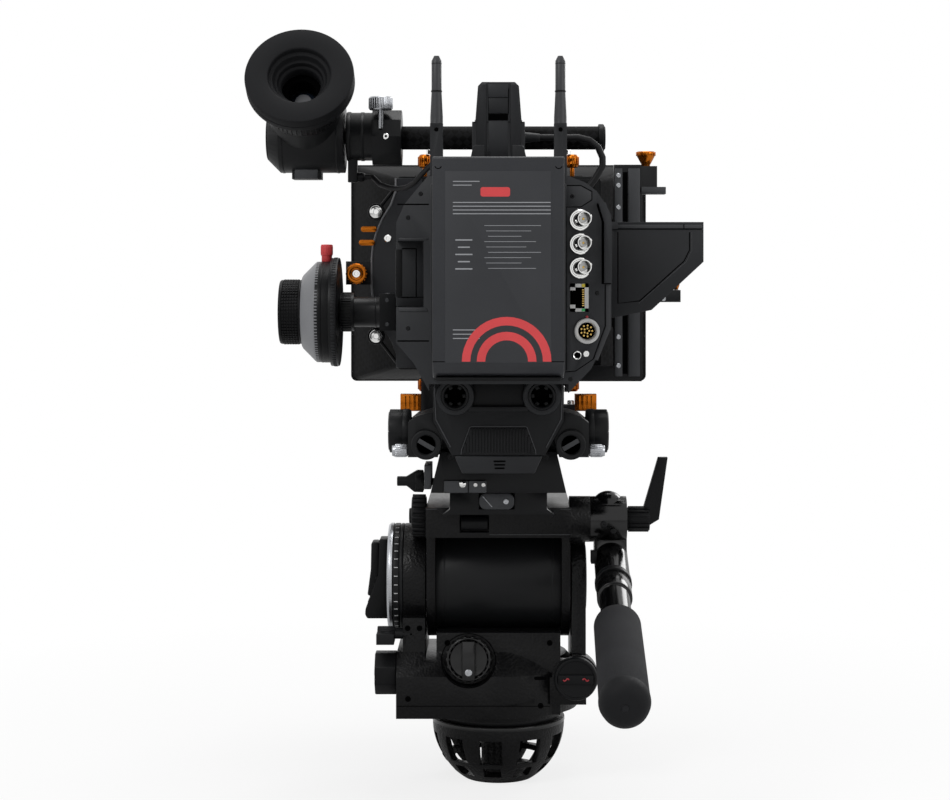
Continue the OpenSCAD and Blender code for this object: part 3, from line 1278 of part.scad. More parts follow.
// Cords along routes chosen by hand, each with rings of eight points
cord_sides = 8;
function unit(v) = v / norm(v);
function heading(path, i) = unit(path[min(i + 1, len(path) - 1)] - path[max(i - 1, 0)]);
function cord_ring(centre, d, r, up) = let (s = unit(cross(d, up)), u = cross(s, d))
  [for (k = [0:cord_sides - 1]) centre + r * (s * cos(k * 360 / cord_sides) + u * sin(k * 360 / cord_sides))];
module cord(path, r, up) {
  n = len(path);
  polyhedron(points = [for (i = [0:n - 1], p = cord_ring(path[i], heading(path, i), r, up)) p], faces = concat(
    [[for (k = [0:cord_sides - 1]) k]],
    [for (i = [0:n - 2], k = [0:cord_sides - 1]) let (a = i * cord_sides + k, b = i * cord_sides + (k + 1) % cord_sides)
      each [[a, a + cord_sides, b + cord_sides], [a, b + cord_sides, b]]],
    [[for (k = [cord_sides - 1:-1:0]) (n - 1) * cord_sides + k]]));
}
module evf_cable() color("#232325") cord(evf_route, evf_cable_r, [0, 1, 0]);
module handle_cable() color("#232325") cord(handle_route, handle_cable_r, [0, 1, 0]);

half_ball();
pan_spindle();
head_casting();
drag_dial();
drag_crank();
pan_drag_knob();
pan_brake_lever();
balance_knob();
tilt_brake_knob();
tilt_drum();
platform();
platform_knob();
plate_latch();
pan_bar_clamp();
pan_bar_lever();
pan_bar_extension();
pan_bar_grip();
sliding_plate();
wedge_plate();
wedge_lever();
shoulder_mount();
shoulder_latch();
rod_brackets();
studio_rods();
rod_lock_left();
rod_lock_right();
chassis();
rear_panel();
rear_sockets();
sensor_unit();
main_board();
cooling_fan();
lens_mount();
battery_plate();
battery();
battery_release();
antenna_left();
antenna_right();
top_handle();
monitor_door();
sunshade();
lens_barrel();
lens_glass();
focus_ring();
evf_rod();
evf_arm();
evf_housing();
evf_eyecup();
evf_clamp_knob();
matte_stage();
matte_hood();
swing_post();
filter_tray();
stage_knobs();
rig_knobs();
ff_gearbox();
ff_handwheel();
ff_gear();
evf_cable();
handle_cable();
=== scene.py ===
"""Looks of the cinema camera rig: finishes, small parts, camera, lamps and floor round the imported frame."""

from __future__ import annotations

import json
import logging
import math
from dataclasses import dataclass, field
from enum import Enum
from typing import Iterable, Sequence

import bmesh
import bpy
from mathutils import Matrix, Vector


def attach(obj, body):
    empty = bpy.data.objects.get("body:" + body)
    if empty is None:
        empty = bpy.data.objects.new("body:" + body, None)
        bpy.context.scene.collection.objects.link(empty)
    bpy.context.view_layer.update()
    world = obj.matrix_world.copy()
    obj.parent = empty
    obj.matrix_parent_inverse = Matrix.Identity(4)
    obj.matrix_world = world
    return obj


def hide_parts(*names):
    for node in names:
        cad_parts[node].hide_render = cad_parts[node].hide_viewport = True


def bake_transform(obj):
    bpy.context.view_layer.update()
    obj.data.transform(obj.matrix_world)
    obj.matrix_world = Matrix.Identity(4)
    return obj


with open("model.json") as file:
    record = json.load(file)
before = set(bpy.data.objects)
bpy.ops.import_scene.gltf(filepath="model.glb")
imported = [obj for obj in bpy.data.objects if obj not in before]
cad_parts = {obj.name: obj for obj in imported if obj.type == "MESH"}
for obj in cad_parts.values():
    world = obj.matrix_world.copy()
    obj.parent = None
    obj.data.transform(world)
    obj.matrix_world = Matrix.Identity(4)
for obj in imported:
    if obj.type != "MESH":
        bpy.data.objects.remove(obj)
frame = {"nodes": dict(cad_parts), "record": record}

LOG = logging.getLogger("camera_rig")
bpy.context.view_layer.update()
MM = 0.001
LENS_Z = 383.0
MOTTLE_SCALE = 38.0
COAT_ROUGHNESS = 0.08
BUMP_DEPTH = 0.0004
PLAIN_WHITE = (1, 1, 1, 1)
Point = Sequence[float]


class Grain(Enum):
    """The surface patterns that a finish can have."""

    SATIN = "satin"
    CRINKLE = "crinkle"
    BRUSHED = "brushed"
    WEAVE = "weave"
    FOAM = "foam"


def new_node(
    tree: bpy.types.NodeTree, kind: str, values: dict[str | int, object] | None = None, operation: str = ""
) -> bpy.types.Node:
    """Adds a shader node.

    Args:
        tree: The tree that it goes into.
        kind: Its type, without the prefix ShaderNode.
        values: What its inputs are set to.
        operation: Its operation, if it has one.

    Returns:
        The new node.
    """
    node = tree.nodes.new(f"ShaderNode{kind}")
    if operation:
        node.operation = operation
    for socket, value in (values or {}).items():
        node.inputs[socket].default_value = value
    return node


@dataclass(frozen=True)
class Finish:
    """One finish: its colour, gloss and the grain that breaks them up."""

    name: str
    slot: str
    colour: tuple[float, float, float]
    roughness: float = 0.5
    metallic: float = 0.0
    specular: float = 0.5
    coat: float = 0.0
    grain: Grain = Grain.SATIN
    scale: float = 900.0
    bump: float = 0.12
    mottle: float = 0.12
    spread: float = 0.08

    def material(self) -> bpy.types.Material:
        """The node material of this finish.

        Returns:
            The material, made once and then found by its name.
        """
        found = bpy.data.materials.get(self.name)
        if found is not None:
            return found
        material = bpy.data.materials.new(self.name)
        material.use_nodes = True
        tree = material.node_tree
        link = tree.links.new
        shader = tree.nodes["Principled BSDF"]
        shader.inputs["Metallic"].default_value = self.metallic
        shader.inputs["Specular IOR Level"].default_value = self.specular
        shader.inputs["Coat Weight"].default_value = self.coat
        shader.inputs["Coat Roughness"].default_value = COAT_ROUGHNESS
        place = new_node(tree, "TexCoord").outputs["Object"]
        height = self._height(tree, place)
        wide = new_node(tree, "TexNoise", {"Scale": MOTTLE_SCALE, "Detail": 4.0})
        link(place, wide.inputs["Vector"])
        blend = new_node(tree, "Math", {1: 0.5}, "MULTIPLY_ADD")
        link(height, blend.inputs[0])
        half = new_node(tree, "Math", {1: 0.5}, "MULTIPLY")
        link(wide.outputs["Fac"], half.inputs[0])
        link(half.outputs[0], blend.inputs[2])
        ramp = new_node(tree, "ValToRGB")
        low, high = ramp.color_ramp.elements
        low.position, high.position = 0.3, 0.7
        low.color = (*[c * (1 - self.mottle) for c in self.colour], 1)
        high.color = (*[min(1, c * (1 + self.mottle)) for c in self.colour], 1)
        link(blend.outputs[0], ramp.inputs["Fac"])
        link(ramp.outputs["Color"], shader.inputs["Base Color"])
        limits = {"To Min": max(0.02, self.roughness - self.spread), "To Max": min(1, self.roughness + self.spread)}
        gloss = new_node(tree, "MapRange", limits)
        link(blend.outputs[0], gloss.inputs["Value"])
        link(gloss.outputs["Result"], shader.inputs["Roughness"])
        bump = new_node(tree, "Bump", {"Strength": self.bump, "Distance": BUMP_DEPTH})
        link(height, bump.inputs["Height"])
        link(bump.outputs["Normal"], shader.inputs["Normal"])
        return material

    def _height(self, tree: bpy.types.NodeTree, place: bpy.types.NodeSocket) -> bpy.types.NodeSocket:
        """The grain as a height from 0 to 1.

        Args:
            tree: The material's tree.
            place: The object coordinates.

        Returns:
            The socket that gives the height.
        """
        mapping = new_node(tree, "Mapping")
        tree.links.new(place, mapping.inputs["Vector"])
        if self.grain is Grain.WEAVE:
            mapping.inputs["Rotation"].default_value = (0.0, math.radians(45), 0.3)
            pair = {"Color1": (0.15, 0.15, 0.15, 1), "Color2": (0.9, 0.9, 0.9, 1)}
            pattern, result = new_node(tree, "TexChecker", {"Scale": self.scale, **pair}), "Color"
        elif self.grain is Grain.CRINKLE:
            pattern, result = new_node(tree, "TexVoronoi", {"Scale": self.scale}), "Distance"
            pattern.feature = "SMOOTH_F1"
        else:
            if self.grain is Grain.BRUSHED:
                mapping.inputs["Scale"].default_value = (1.0, 0.06, 1.0)
            detail, rough = (6.0, 0.75) if self.grain is Grain.FOAM else (3.0, 0.55)
            values = {"Scale": self.scale, "Detail": detail, "Roughness": rough}
            pattern, result = new_node(tree, "TexNoise", values), "Fac"
        tree.links.new(mapping.outputs["Vector"], pattern.inputs["Vector"])
        return pattern.outputs[result]



BODY = Finish("body_coat", "body_paint", (0.0175, 0.0184, 0.0204), 0.44, specular=0.2, scale=1500, bump=0.2)
PANEL = Finish("panel_coat", "body_paint", (0.0250, 0.0262, 0.0290), 0.44, specular=0.24, scale=1500, bump=0.2)
# Pale paint of the antennas and the door's trim, and painted highlights: pale lines on edges, bevels and lips
PALE_AND_PAINTED_HIGHLIGHT = Finish("pale_paint_and_painted_highlight", "body_paint", (0.042, 0.0435, 0.047), 0.4, specular=0.3, scale=1500, bump=0.15)
BATTERY = Finish("battery_case", "battery_plastic", (0.0265, 0.0278, 0.0318), 0.4, specular=0.26, scale=1200, bump=0.12)
LABEL = Finish("label_panel", "battery_plastic", (0.0335, 0.0350, 0.0390), 0.46, specular=0.28, scale=2200, bump=0.04)
LABEL_LINE = Finish("label_line", "battery_plastic", (0.34, 0.35, 0.37), 0.5, scale=2200, bump=0.02)
LABEL_RED = Finish("label_red", "red_plastic", (0.70, 0.060, 0.066), 0.5, scale=2200, bump=0.02)
RED = Finish("red_moulding", "red_plastic", (0.36, 0.012, 0.022), 0.4, scale=1400)
ANODISED = Finish("anodised_coat", "black_anodised", (0.0088, 0.0092, 0.0100), 0.36, specular=0.15, scale=2400,
    bump=0.1)
ANODISED_GREY = Finish("grey_anodised", "wheel_grey", (0.048, 0.050, 0.054), 0.36, 0.3, specular=0.3, scale=2400,
    bump=0.08)
# The handwheel cone's pale grey, and painted highlights: the line on the stage's curved edge and the glint in the
# eyepiece
WHEEL_GREY_AND_PAINTED_HIGHLIGHT = Finish("wheel_grey_and_painted_highlight", "wheel_grey", (0.235, 0.239, 0.252), 0.42, specular=0.4, scale=1700, bump=0.1)
GLOSS_BLACK = Finish("gloss_black", "black_plastic", (0.0018, 0.0018, 0.0021), 0.17, specular=0.42, scale=700,
    bump=0.05)
PLASTIC = Finish("black_moulding", "black_plastic", (0.0060, 0.0062, 0.0068), 0.42, specular=0.12, scale=1800, bump=0.2)
# Black for seams and pivots, and painted shade: dark sheets, discs and lines put in slots, vents, holes, the eyepiece's
# tunnel and along stepped edges
BLACK_AND_PAINTED_SHADE = Finish("black_and_painted_shade", "black_plastic", (0.0008, 0.0008, 0.0009), 0.8, specular=0.02, scale=1200)
CRINKLE = Finish("crinkle_coat", "crinkle_paint", (0.0050, 0.0050, 0.0054), 0.34, specular=0.15, grain=Grain.CRINKLE,
    scale=620, bump=0.75, mottle=0.3, spread=0.12)
SHOULDER = Finish("shoulder_shell", "body_paint", (0.0105, 0.0110, 0.0120), 0.46, specular=0.14, scale=1700, bump=0.18)
CARBON = Finish("carbon_weave", "carbon", (0.0048, 0.0048, 0.0052), 0.55, specular=0.06, grain=Grain.WEAVE, scale=230,
    bump=0.12, mottle=0.75)
RUBBER = Finish("rubber_skin", "soft_rubber", (0.0100, 0.0103, 0.0114), 0.64, specular=0.12, scale=1100, bump=0.2)
FOAM = Finish("bar_foam", "foam", (0.0232, 0.0235, 0.0256), 0.86, specular=0.12, grain=Grain.FOAM, scale=2600, bump=0.6,
    mottle=0.35)
CORD = Finish("cord_skin", "cord_jacket", (0.0060, 0.0060, 0.0068), 0.5, specular=0.2, scale=1600, bump=0.15)
STEEL = Finish("turned_steel", "steel", (0.42, 0.43, 0.45), 0.28, 1.0, grain=Grain.BRUSHED, scale=1800, bump=0.1)
CHROME = Finish("bright_plate", "plated", (0.80, 0.80, 0.79), 0.14, 1.0, scale=800, bump=0.03, mottle=0.04, spread=0.03)
GOLD = Finish("gold_pin", "plated", (0.70, 0.47, 0.14), 0.25, 1.0, scale=900, bump=0.05)
ORANGE = Finish("orange_coat", "orange_anodised", (0.42, 0.115, 0.006), 0.2, 0.9, scale=2000, bump=0.08, mottle=0.12)
WHITE = Finish("white_plastic", "plated", (0.68, 0.68, 0.67), 0.5, scale=1500, bump=0.05, mottle=0.03)
YELLOW_LED = Finish("yellow_lamp", "plated", (0.75, 0.6, 0.03), 0.35, scale=1500, bump=0.02)
GREEN_LED = Finish("green_lamp", "board", (0.03, 0.45, 0.12), 0.35, scale=1500, bump=0.02)
MARK = Finish("pale_mark", "body_paint", (0.55, 0.55, 0.56), 0.5, scale=1500, bump=0.02)
GLASS_DARK = Finish("coated_glass", "glass", (0.012, 0.018, 0.030), 0.06, specular=0.9, coat=0.7, scale=60, bump=0.0,
    mottle=0.5, spread=0.01)
BOARD = Finish("circuit_board", "board", (0.012, 0.085, 0.04), 0.45, scale=700, bump=0.2)
SENSOR = Finish("sensor_frame", "sensor", (0.18, 0.21, 0.24), 0.4, 0.4, scale=900)


def facing(base: Point, direction: Point, spin: float = 0.0) -> Matrix:
    """A frame whose local +Z points along a direction.

    Args:
        base: The frame's origin, in millimetres.
        direction: Where its +Z points.
        spin: A turn about that direction, in degrees.

    Returns:
        The frame as a matrix in millimetres.
    """
    turn = Vector(direction).normalized().to_track_quat("Z", "Y").to_matrix().to_4x4()
    return Matrix.Translation(Vector(base)) @ turn @ Matrix.Rotation(math.radians(spin), 4, "Z")


UP, BACK, FRONT = (0, 0, 1), (0, -1, 0), (0, 1, 0)
LEFT, RIGHT = (-1, 0, 0), (1, 0, 0)


@dataclass
class Piece:
    """One visible piece: forms in millimetres gathered into one mesh that rides on a body."""

    name: str
    body: str | None
    finish: Finish
    bevel: float = 0.0
    stands_for: tuple[str, ...] = ()
    smooth: float = 34.0
    mesh: bmesh.types.BMesh = field(default_factory=bmesh.new)

    def block(self, low: Point, high: Point, frame_at: Matrix | None = None) -> "Piece":
        """Adds a box between two corners.

        Args:
            low: The lowest corner, in millimetres.
            high: The highest corner.
            frame_at: A frame to place it in.

        Returns:
            This piece.
        """
        size = Vector(high) - Vector(low)
        place = Matrix.Translation((Vector(low) + Vector(high)) / 2) @ Matrix.Diagonal((*size, 1))
        bmesh.ops.create_cube(self.mesh, size=1, matrix=(frame_at or Matrix.Identity(4)) @ place)
        return self

    def turned(self, profile: Iterable[Point], at: Matrix, sides: int = 48, ring: bool = False) -> "Piece":
        """Adds a turned form.

        Args:
            profile: Points of radius and height, from the foot to the top.
            at: The frame whose +Z is the axis.
            sides: How many flats go round.
            ring: Whether the profile closes on itself.

        Returns:
            This piece.
        """
        rows = []
        for r, h in profile:
            if r < 1e-4:
                rows.append([self.mesh.verts.new(at @ Vector((0, 0, h)))] * sides)
            else:
                rows.append([
                    self.mesh.verts.new(at @ Vector((r * math.cos(a), r * math.sin(a), h)))
                    for a in (2 * math.pi * k / sides for k in range(sides))
                ])
        pairs = list(zip(rows, rows[1:])) + ([(rows[-1], rows[0])] if ring else [])
        for lower, upper in pairs:
            for k in range(sides):
                corners = [lower[k], lower[(k + 1) % sides], upper[(k + 1) % sides], upper[k]]
                distinct = list(dict.fromkeys(corners))
                if len(distinct) > 2:
                    self.mesh.faces.new(distinct)
        if not ring:
            for row in (rows[0], rows[-1]):
                if row[0] is not row[1]:
                    self.mesh.faces.new(row)
        return self

    def prism(self, outline: Sequence[Point], at: Matrix, height: float, top: float = 1.0) -> "Piece":
        """Adds an outline raised along its frame's +Z.

        Args:
            outline: The corners, in order.
            at: The frame that the outline lies in.
            height: How far it rises.
            top: The size of the top as a share of the foot.

        Returns:
            This piece.
        """
        centre = Vector((sum(p[0] for p in outline) / len(outline), sum(p[1] for p in outline) / len(outline)))
        low = [self.mesh.verts.new(at @ Vector((p[0], p[1], 0))) for p in outline]
        high = [
            self.mesh.verts.new(at @ Vector((*(centre + (Vector(p[:2]) - centre) * top), height))) for p in outline
        ]
        self.mesh.faces.new(low)
        self.mesh.faces.new(high)
        for k in range(len(low)):
            n = (k + 1) % len(low)
            self.mesh.faces.new([low[k], low[n], high[n], high[k]])
        return self

    def band(self, inner: float, outer: float, low: float, high: float, at: Matrix, sides: int = 48) -> "Piece":
        """Adds a ring with a four-sided section.

        Args:
            inner: Its inner radius.
            outer: Its outer radius.
            low: Where it starts along the axis.
            high: Where it ends.
            at: The frame whose +Z is the axis.
            sides: How many flats go round.

        Returns:
            This piece.
        """
        return self.turned([(inner, low), (outer, low), (outer, high), (inner, high)], at, sides, ring=True)

    def disc(self, r: float, low: float, high: float, at: Matrix, sides: int = 48) -> "Piece":
        """Adds a plain disc.

        Args:
            r: Its radius.
            low: Where it starts along the axis.
            high: Where it ends.
            at: The frame whose +Z is the axis.
            sides: How many flats go round.

        Returns:
            This piece.
        """
        return self.turned([(0, low), (r, low), (r, high), (0, high)], at, sides)

    def rod(self, start: Point, end: Point, r: float, sides: int = 32) -> "Piece":
        """Adds a round bar between two points.

        Args:
            start: The middle of its foot.
            end: The middle of its top.
            r: Its radius.
            sides: How many flats go round.

        Returns:
            This piece.
        """
        along = Vector(end) - Vector(start)
        return self.disc(r, 0, along.length, facing(start, along), sides)

    def swept(self, route: Sequence[Point], r: float, sides: int = 12) -> "Piece":
        """Adds a tube along a route.

        Args:
            route: The points of its centre line.
            r: Its radius.
            sides: How many flats go round.

        Returns:
            This piece.
        """
        points = [Vector(p) for p in route]
        rows, side = [], None
        for i, p in enumerate(points):
            ahead = (points[min(i + 1, len(points) - 1)] - points[max(i - 1, 0)]).normalized()
            if side is None:
                side = ahead.orthogonal().normalized()
            side = (side - ahead * side.dot(ahead)).normalized()
            across = ahead.cross(side)
            rows.append([
                self.mesh.verts.new(p + r * (side * math.cos(a) + across * math.sin(a)))
                for a in (2 * math.pi * k / sides for k in range(sides))
            ])
        for lower, upper in zip(rows, rows[1:]):
            for k in range(sides):
                n = (k + 1) % sides
                self.mesh.faces.new([lower[k], lower[n], upper[n], upper[k]])
        self.mesh.faces.new(rows[0])
        self.mesh.faces.new(rows[-1])
        return self

    def copy_of(self, node: str) -> "Piece":
        """Adds a merged copy of a CAD node's mesh, in millimetres.

        Args:
            node: The node's name.

        Returns:
            This piece.
        """
        other = bmesh.new()
        other.from_mesh(frame["nodes"][node].data)
        bmesh.ops.remove_doubles(other, verts=other.verts, dist=2e-6)
        bmesh.ops.dissolve_limit(
            other, angle_limit=math.radians(0.4), verts=other.verts, edges=other.edges, delimit={"NORMAL"}
        )
        other.transform(Matrix.Scale(1 / MM, 4))
        return self.add(other)

    def add(self, other: bmesh.types.BMesh | bpy.types.Mesh, at: Matrix | None = None) -> "Piece":
        """Adds another mesh, which is in millimetres.

        Args:
            other: The mesh.
            at: The frame to place it in.

        Returns:
            This piece.
        """
        if isinstance(other, bmesh.types.BMesh):
            holder = bpy.data.meshes.new("holder")
            other.to_mesh(holder)
            other.free()
        else:
            holder = other
        if at is not None:
            holder.transform(at)
        self.mesh.from_mesh(holder)
        bpy.data.meshes.remove(holder)
        return self

    def done(self, outward: bool = True) -> bpy.types.Object:
        """Makes the object, gives it its finish and puts it on its body.

        Args:
            outward: Whether the faces are turned outwards first.

        Returns:
            The finished object.
        """
        if outward:
            bmesh.ops.recalc_face_normals(self.mesh, faces=self.mesh.faces)
        self.mesh.transform(Matrix.Scale(MM, 4))
        data = bpy.data.meshes.new(self.name)
        self.mesh.to_mesh(data)
        self.mesh.free()
        data.materials.append(self.finish.material())
        thing = bpy.data.objects.new(self.name, data)
        bpy.context.scene.collection.objects.link(thing)
        if self.bevel:
            rounding = thing.modifiers.new("rounding", "BEVEL")
            rounding.width = self.bevel * MM
            rounding.segments = 2
            rounding.limit_method = "ANGLE"
            rounding.angle_limit = math.radians(32)
            rounding.use_clamp_overlap = True
            rounding.harden_normals = False
            seen = thing.evaluated_get(bpy.context.evaluated_depsgraph_get())
            fresh = bpy.data.meshes.new_from_object(seen)
            thing.modifiers.clear()
            thing.data = fresh
            fresh.name = self.name
        thing.data.shade_smooth()
        thing.data.set_sharp_from_angle(angle=math.radians(self.smooth))
        if self.body:
            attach(thing, self.body)
        if self.stands_for:
            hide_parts(*self.stands_for)
        LOG.info("%s: %d faces on %s", self.name, len(thing.data.polygons), self.body)
        return thing


class Repeater:
    """Geometry Nodes that set copies of one form in a row or round an axis."""

    def __init__(self) -> None:
        """Builds the tree with its named inputs."""
        self.tree = bpy.data.node_groups.new("repeat_form", "GeometryNodeTree")
        face = self.tree.interface
        self.sockets = {
            name: face.new_socket(name=name, in_out="INPUT", socket_type=kind).identifier
            for name, kind in (
                ("Form", "NodeSocketObject"),
                ("Count", "NodeSocketInt"),
                ("Step", "NodeSocketVector"),
                ("Turn", "NodeSocketVector"),
                ("Finish", "NodeSocketMaterial"),
            )
        }
        face.new_socket(name="Geometry", in_out="OUTPUT", socket_type="NodeSocketGeometry")
        nodes, links = self.tree.nodes, self.tree.links
        given = nodes.new("NodeGroupInput")
        line = nodes.new("GeometryNodeMeshLine")
        info = nodes.new("GeometryNodeObjectInfo")
        index = nodes.new("GeometryNodeInputIndex")
        scale = nodes.new("ShaderNodeVectorMath")
        scale.operation = "SCALE"
        place = nodes.new("GeometryNodeInstanceOnPoints")
        real = nodes.new("GeometryNodeRealizeInstances")
        paint = nodes.new("GeometryNodeSetMaterial")
        out = nodes.new("NodeGroupOutput")
        for source, result, target, entry in (
            (given, "Count", line, "Count"),
            (given, "Step", line, "Offset"),
            (given, "Form", info, "Object"),
            (given, "Turn", scale, 0),
            (index, 0, scale, "Scale"),
            (line, "Mesh", place, "Points"),
            (info, "Geometry", place, "Instance"),
            (scale, "Vector", place, "Rotation"),
            (place, "Instances", real, "Geometry"),
            (real, "Geometry", paint, "Geometry"),
            (given, "Finish", paint, "Material"),
            (paint, "Geometry", out, "Geometry"),
        ):
            links.new(source.outputs[result], target.inputs[entry])

    def copies(self, form: Piece, count: int, step: Point = (0, 0, 0), turn: Point = (0, 0, 0)) -> bpy.types.Mesh:
        """Repeats a form.

        Args:
            form: The form, in millimetres, which is used up.
            count: How many copies.
            step: The move from one copy to the next, in millimetres.
            turn: The turn from one copy to the next about each axis, in degrees.

        Returns:
            The copies as one plain mesh, in millimetres.
        """
        bmesh.ops.recalc_face_normals(form.mesh, faces=form.mesh.faces)
        data = bpy.data.meshes.new("form")
        form.mesh.to_mesh(data)
        form.mesh.free()
        unit = bpy.data.objects.new("form", data)
        holder = bpy.data.objects.new("copies", bpy.data.meshes.new("copies"))
        for thing in (unit, holder):
            bpy.context.scene.collection.objects.link(thing)
        working = holder.modifiers.new("repeat", "NODES")
        working.node_group = self.tree
        working[self.sockets["Form"]] = unit
        working[self.sockets["Count"]] = count
        working[self.sockets["Step"]] = tuple(float(v) for v in step)
        working[self.sockets["Turn"]] = tuple(math.radians(v) for v in turn)
        working[self.sockets["Finish"]] = form.finish.material()
        seen = holder.evaluated_get(bpy.context.evaluated_depsgraph_get())
        result = bpy.data.meshes.new_from_object(seen)
        for thing in (unit, holder):
            mesh = thing.data
            bpy.data.objects.remove(thing)
            bpy.data.meshes.remove(mesh)
        return result


REPEAT = Repeater()


def form(finish: Finish) -> Piece:
    """A loose form that is only made to be repeated.

    Args:
        finish: What it is made of.

    Returns:
        The empty form.
    """
    return Piece("form", "", finish)


def ring_of(target: Piece, unit: Piece, count: int, at: Matrix) -> Piece:
    """Sets copies of a form evenly round a frame's +Z and adds them to a piece.

    Args:
        target: The piece that gets them.
        unit: The form, which is used up.
        count: How many copies.
        at: The frame.

    Returns:
        The piece.
    """
    return target.add(REPEAT.copies(unit, count, turn=(0, 0, 360 / count)), at)


def row_of(target: Piece, unit: Piece, count: int, step: Point, at: Matrix | None = None) -> Piece:
    """Sets copies of a form in a row and adds them to a piece.

    Args:
        target: The piece that gets them.
        unit: The form, which is used up.
        count: How many copies.
        step: The move from one copy to the next.
        at: The frame to place the row in.

    Returns:
        The piece.
    """
    return target.add(REPEAT.copies(unit, count, step=step), at)


def rounded(half_w: float, half_h: float, r: float, steps: int = 4, centre: Point = (0, 0)) -> list[Point]:
    """The outline of a rectangle with round corners.

    Args:
        half_w: Half its width.
        half_h: Half its height.
        r: The radius of its corners.
        steps: How many flats a corner has.
        centre: Where its middle is.

    Returns:
        The corners in order.
    """
    corners = []
    for quarter, (sx, sy) in enumerate(((1, 1), (-1, 1), (-1, -1), (1, -1))):
        for k in range(steps + 1):
            a = math.radians(90 * quarter + 90 * k / steps)
            corners.append((centre[0] + sx * (half_w - r) + r * math.cos(a),
                centre[1] + sy * (half_h - r) + r * math.sin(a)))
    return corners


def screw(target: Piece, base: Point, direction: Point, r: float = 1.8, h: float = 0.8) -> Piece:
    """Adds a screw head with a domed rim and a sunk middle.

    Args:
        target: The piece that gets it.
        base: The middle of its foot.
        direction: Where it points.
        r: Its radius.
        h: Its height.

    Returns:
        The piece.
    """
    return target.turned([(0, -0.3), (r, -0.3), (r, h * 0.5), (r * 0.82, h), (r * 0.45, h), (r * 0.4, h * 0.3),
        (0, h * 0.3)], facing(base, direction), 20)


def behind(y: float, spin: float = 0.0) -> Matrix:
    """A frame in the plane Y = y: local X is +X, local Y is +Z and local +Z points towards -Y.

    Args:
        y: The plane's depth.
        spin: A turn about the frame's +Z, in degrees.

    Returns:
        The frame as a matrix in millimetres.
    """
    return Matrix.Translation((0, y, 0)) @ Matrix.Rotation(math.radians(90), 4,
        "X") @ Matrix.Rotation(math.radians(spin), 4, "Z")


def arc_of(centre: Point, r: float, degrees: Iterable[float]) -> list[Point]:
    """Points on a circle.

    Args:
        centre: Its middle.
        r: Its radius.
        degrees: Where the points lie.

    Returns:
        The points in order.
    """
    return [(centre[0] + r * math.cos(math.radians(a)), centre[1] + r * math.sin(math.radians(a))) for a in degrees]


def at_depth(y: float, outline: Iterable[Point]) -> list[Point]:
    """Sets points of X and Z at one depth.

    Args:
        y: The depth.
        outline: The points.

    Returns:
        The points with all three coordinates.
    """
    return [(x, y, z) for x, z in outline]


# Nodes that keep their CAD form, with their finish and the rounding of their edges
DRESSED: dict[str, tuple[Finish, float]] = {
    "half_ball": (CRINKLE, 0.5),
    "pan_spindle": (ANODISED, 0.3),
    "head_casting": (CRINKLE, 0.9),
    "drag_crank": (PLASTIC, 0.9),
    "pan_drag_knob": (PLASTIC, 0.8),
    "pan_brake_lever": (ANODISED, 0.7),
    "tilt_drum": (ANODISED, 0.4),
    "platform": (CRINKLE, 0.6),
    "plate_latch": (ANODISED_GREY, 0.6),
    "pan_bar_clamp": (GLOSS_BLACK, 0.6),
    "pan_bar_lever": (PLASTIC, 0.5),
    "pan_bar_extension": (GLOSS_BLACK, 0.4),
    "pan_bar_grip": (FOAM, 0.0),
    "sliding_plate": (ANODISED, 0.5),
    "wedge_plate": (ANODISED, 0.6),
    "shoulder_mount": (SHOULDER, 1.2),
    "shoulder_latch": (BODY, 0.8),
    "rod_brackets": (ANODISED, 1.0),
    "studio_rods": (ANODISED, 0.5),
    "chassis": (BODY, 1.0),
    "rear_panel": (PANEL, 0.8),
    "sensor_unit": (SENSOR, 0.4),
    "main_board": (BOARD, 0.2),
    "cooling_fan": (PLASTIC, 0.0),
    "lens_mount": (STEEL, 0.4),
    "battery_plate": (ANODISED, 0.6),
    "battery_release": (RED, 0.5),
    "antenna_left": (PALE_AND_PAINTED_HIGHLIGHT, 0.3),
    "antenna_right": (PALE_AND_PAINTED_HIGHLIGHT, 0.3),
    "top_handle": (BODY, 1.2),
    "monitor_door": (BODY, 0.6),
    "sunshade": (BODY, 0.5),
    "lens_barrel": (ANODISED, 0.4),
    "lens_glass": (GLASS_DARK, 0.0),
    "focus_ring": (PLASTIC, 0.0),
    "ff_gear": (PLASTIC, 0.0),
    "evf_rod": (CARBON, 0.4),
    "evf_arm": (ANODISED, 0.7),
    "evf_housing": (ANODISED, 0.8),
    "matte_stage": (ANODISED, 0.6),
    "matte_hood": (CARBON, 0.5),
    "swing_post": (ANODISED, 0.8),
    "filter_tray": (ANODISED, 0.5),
    "ff_gearbox": (ANODISED, 0.8),
    "wedge_lever": (PLASTIC, 0.6),
}


def body_of(node: str) -> str:
    """The name of the body that a CAD node belongs to.

    Args:
        node: The node's name.

    Returns:
        The body's name.
    """
    return next(body for body, nodes in frame["record"]["behaviour"]["bodies"].items() if node in nodes)


def dress_nodes() -> None:
    """Puts a rounded, finished copy in the place of each node whose form is right."""
    for node, (finish, bevel) in DRESSED.items():
        Piece(f"{node}_dressed", body_of(node), finish, bevel, (node,)).copy_of(node).done(outward=False)


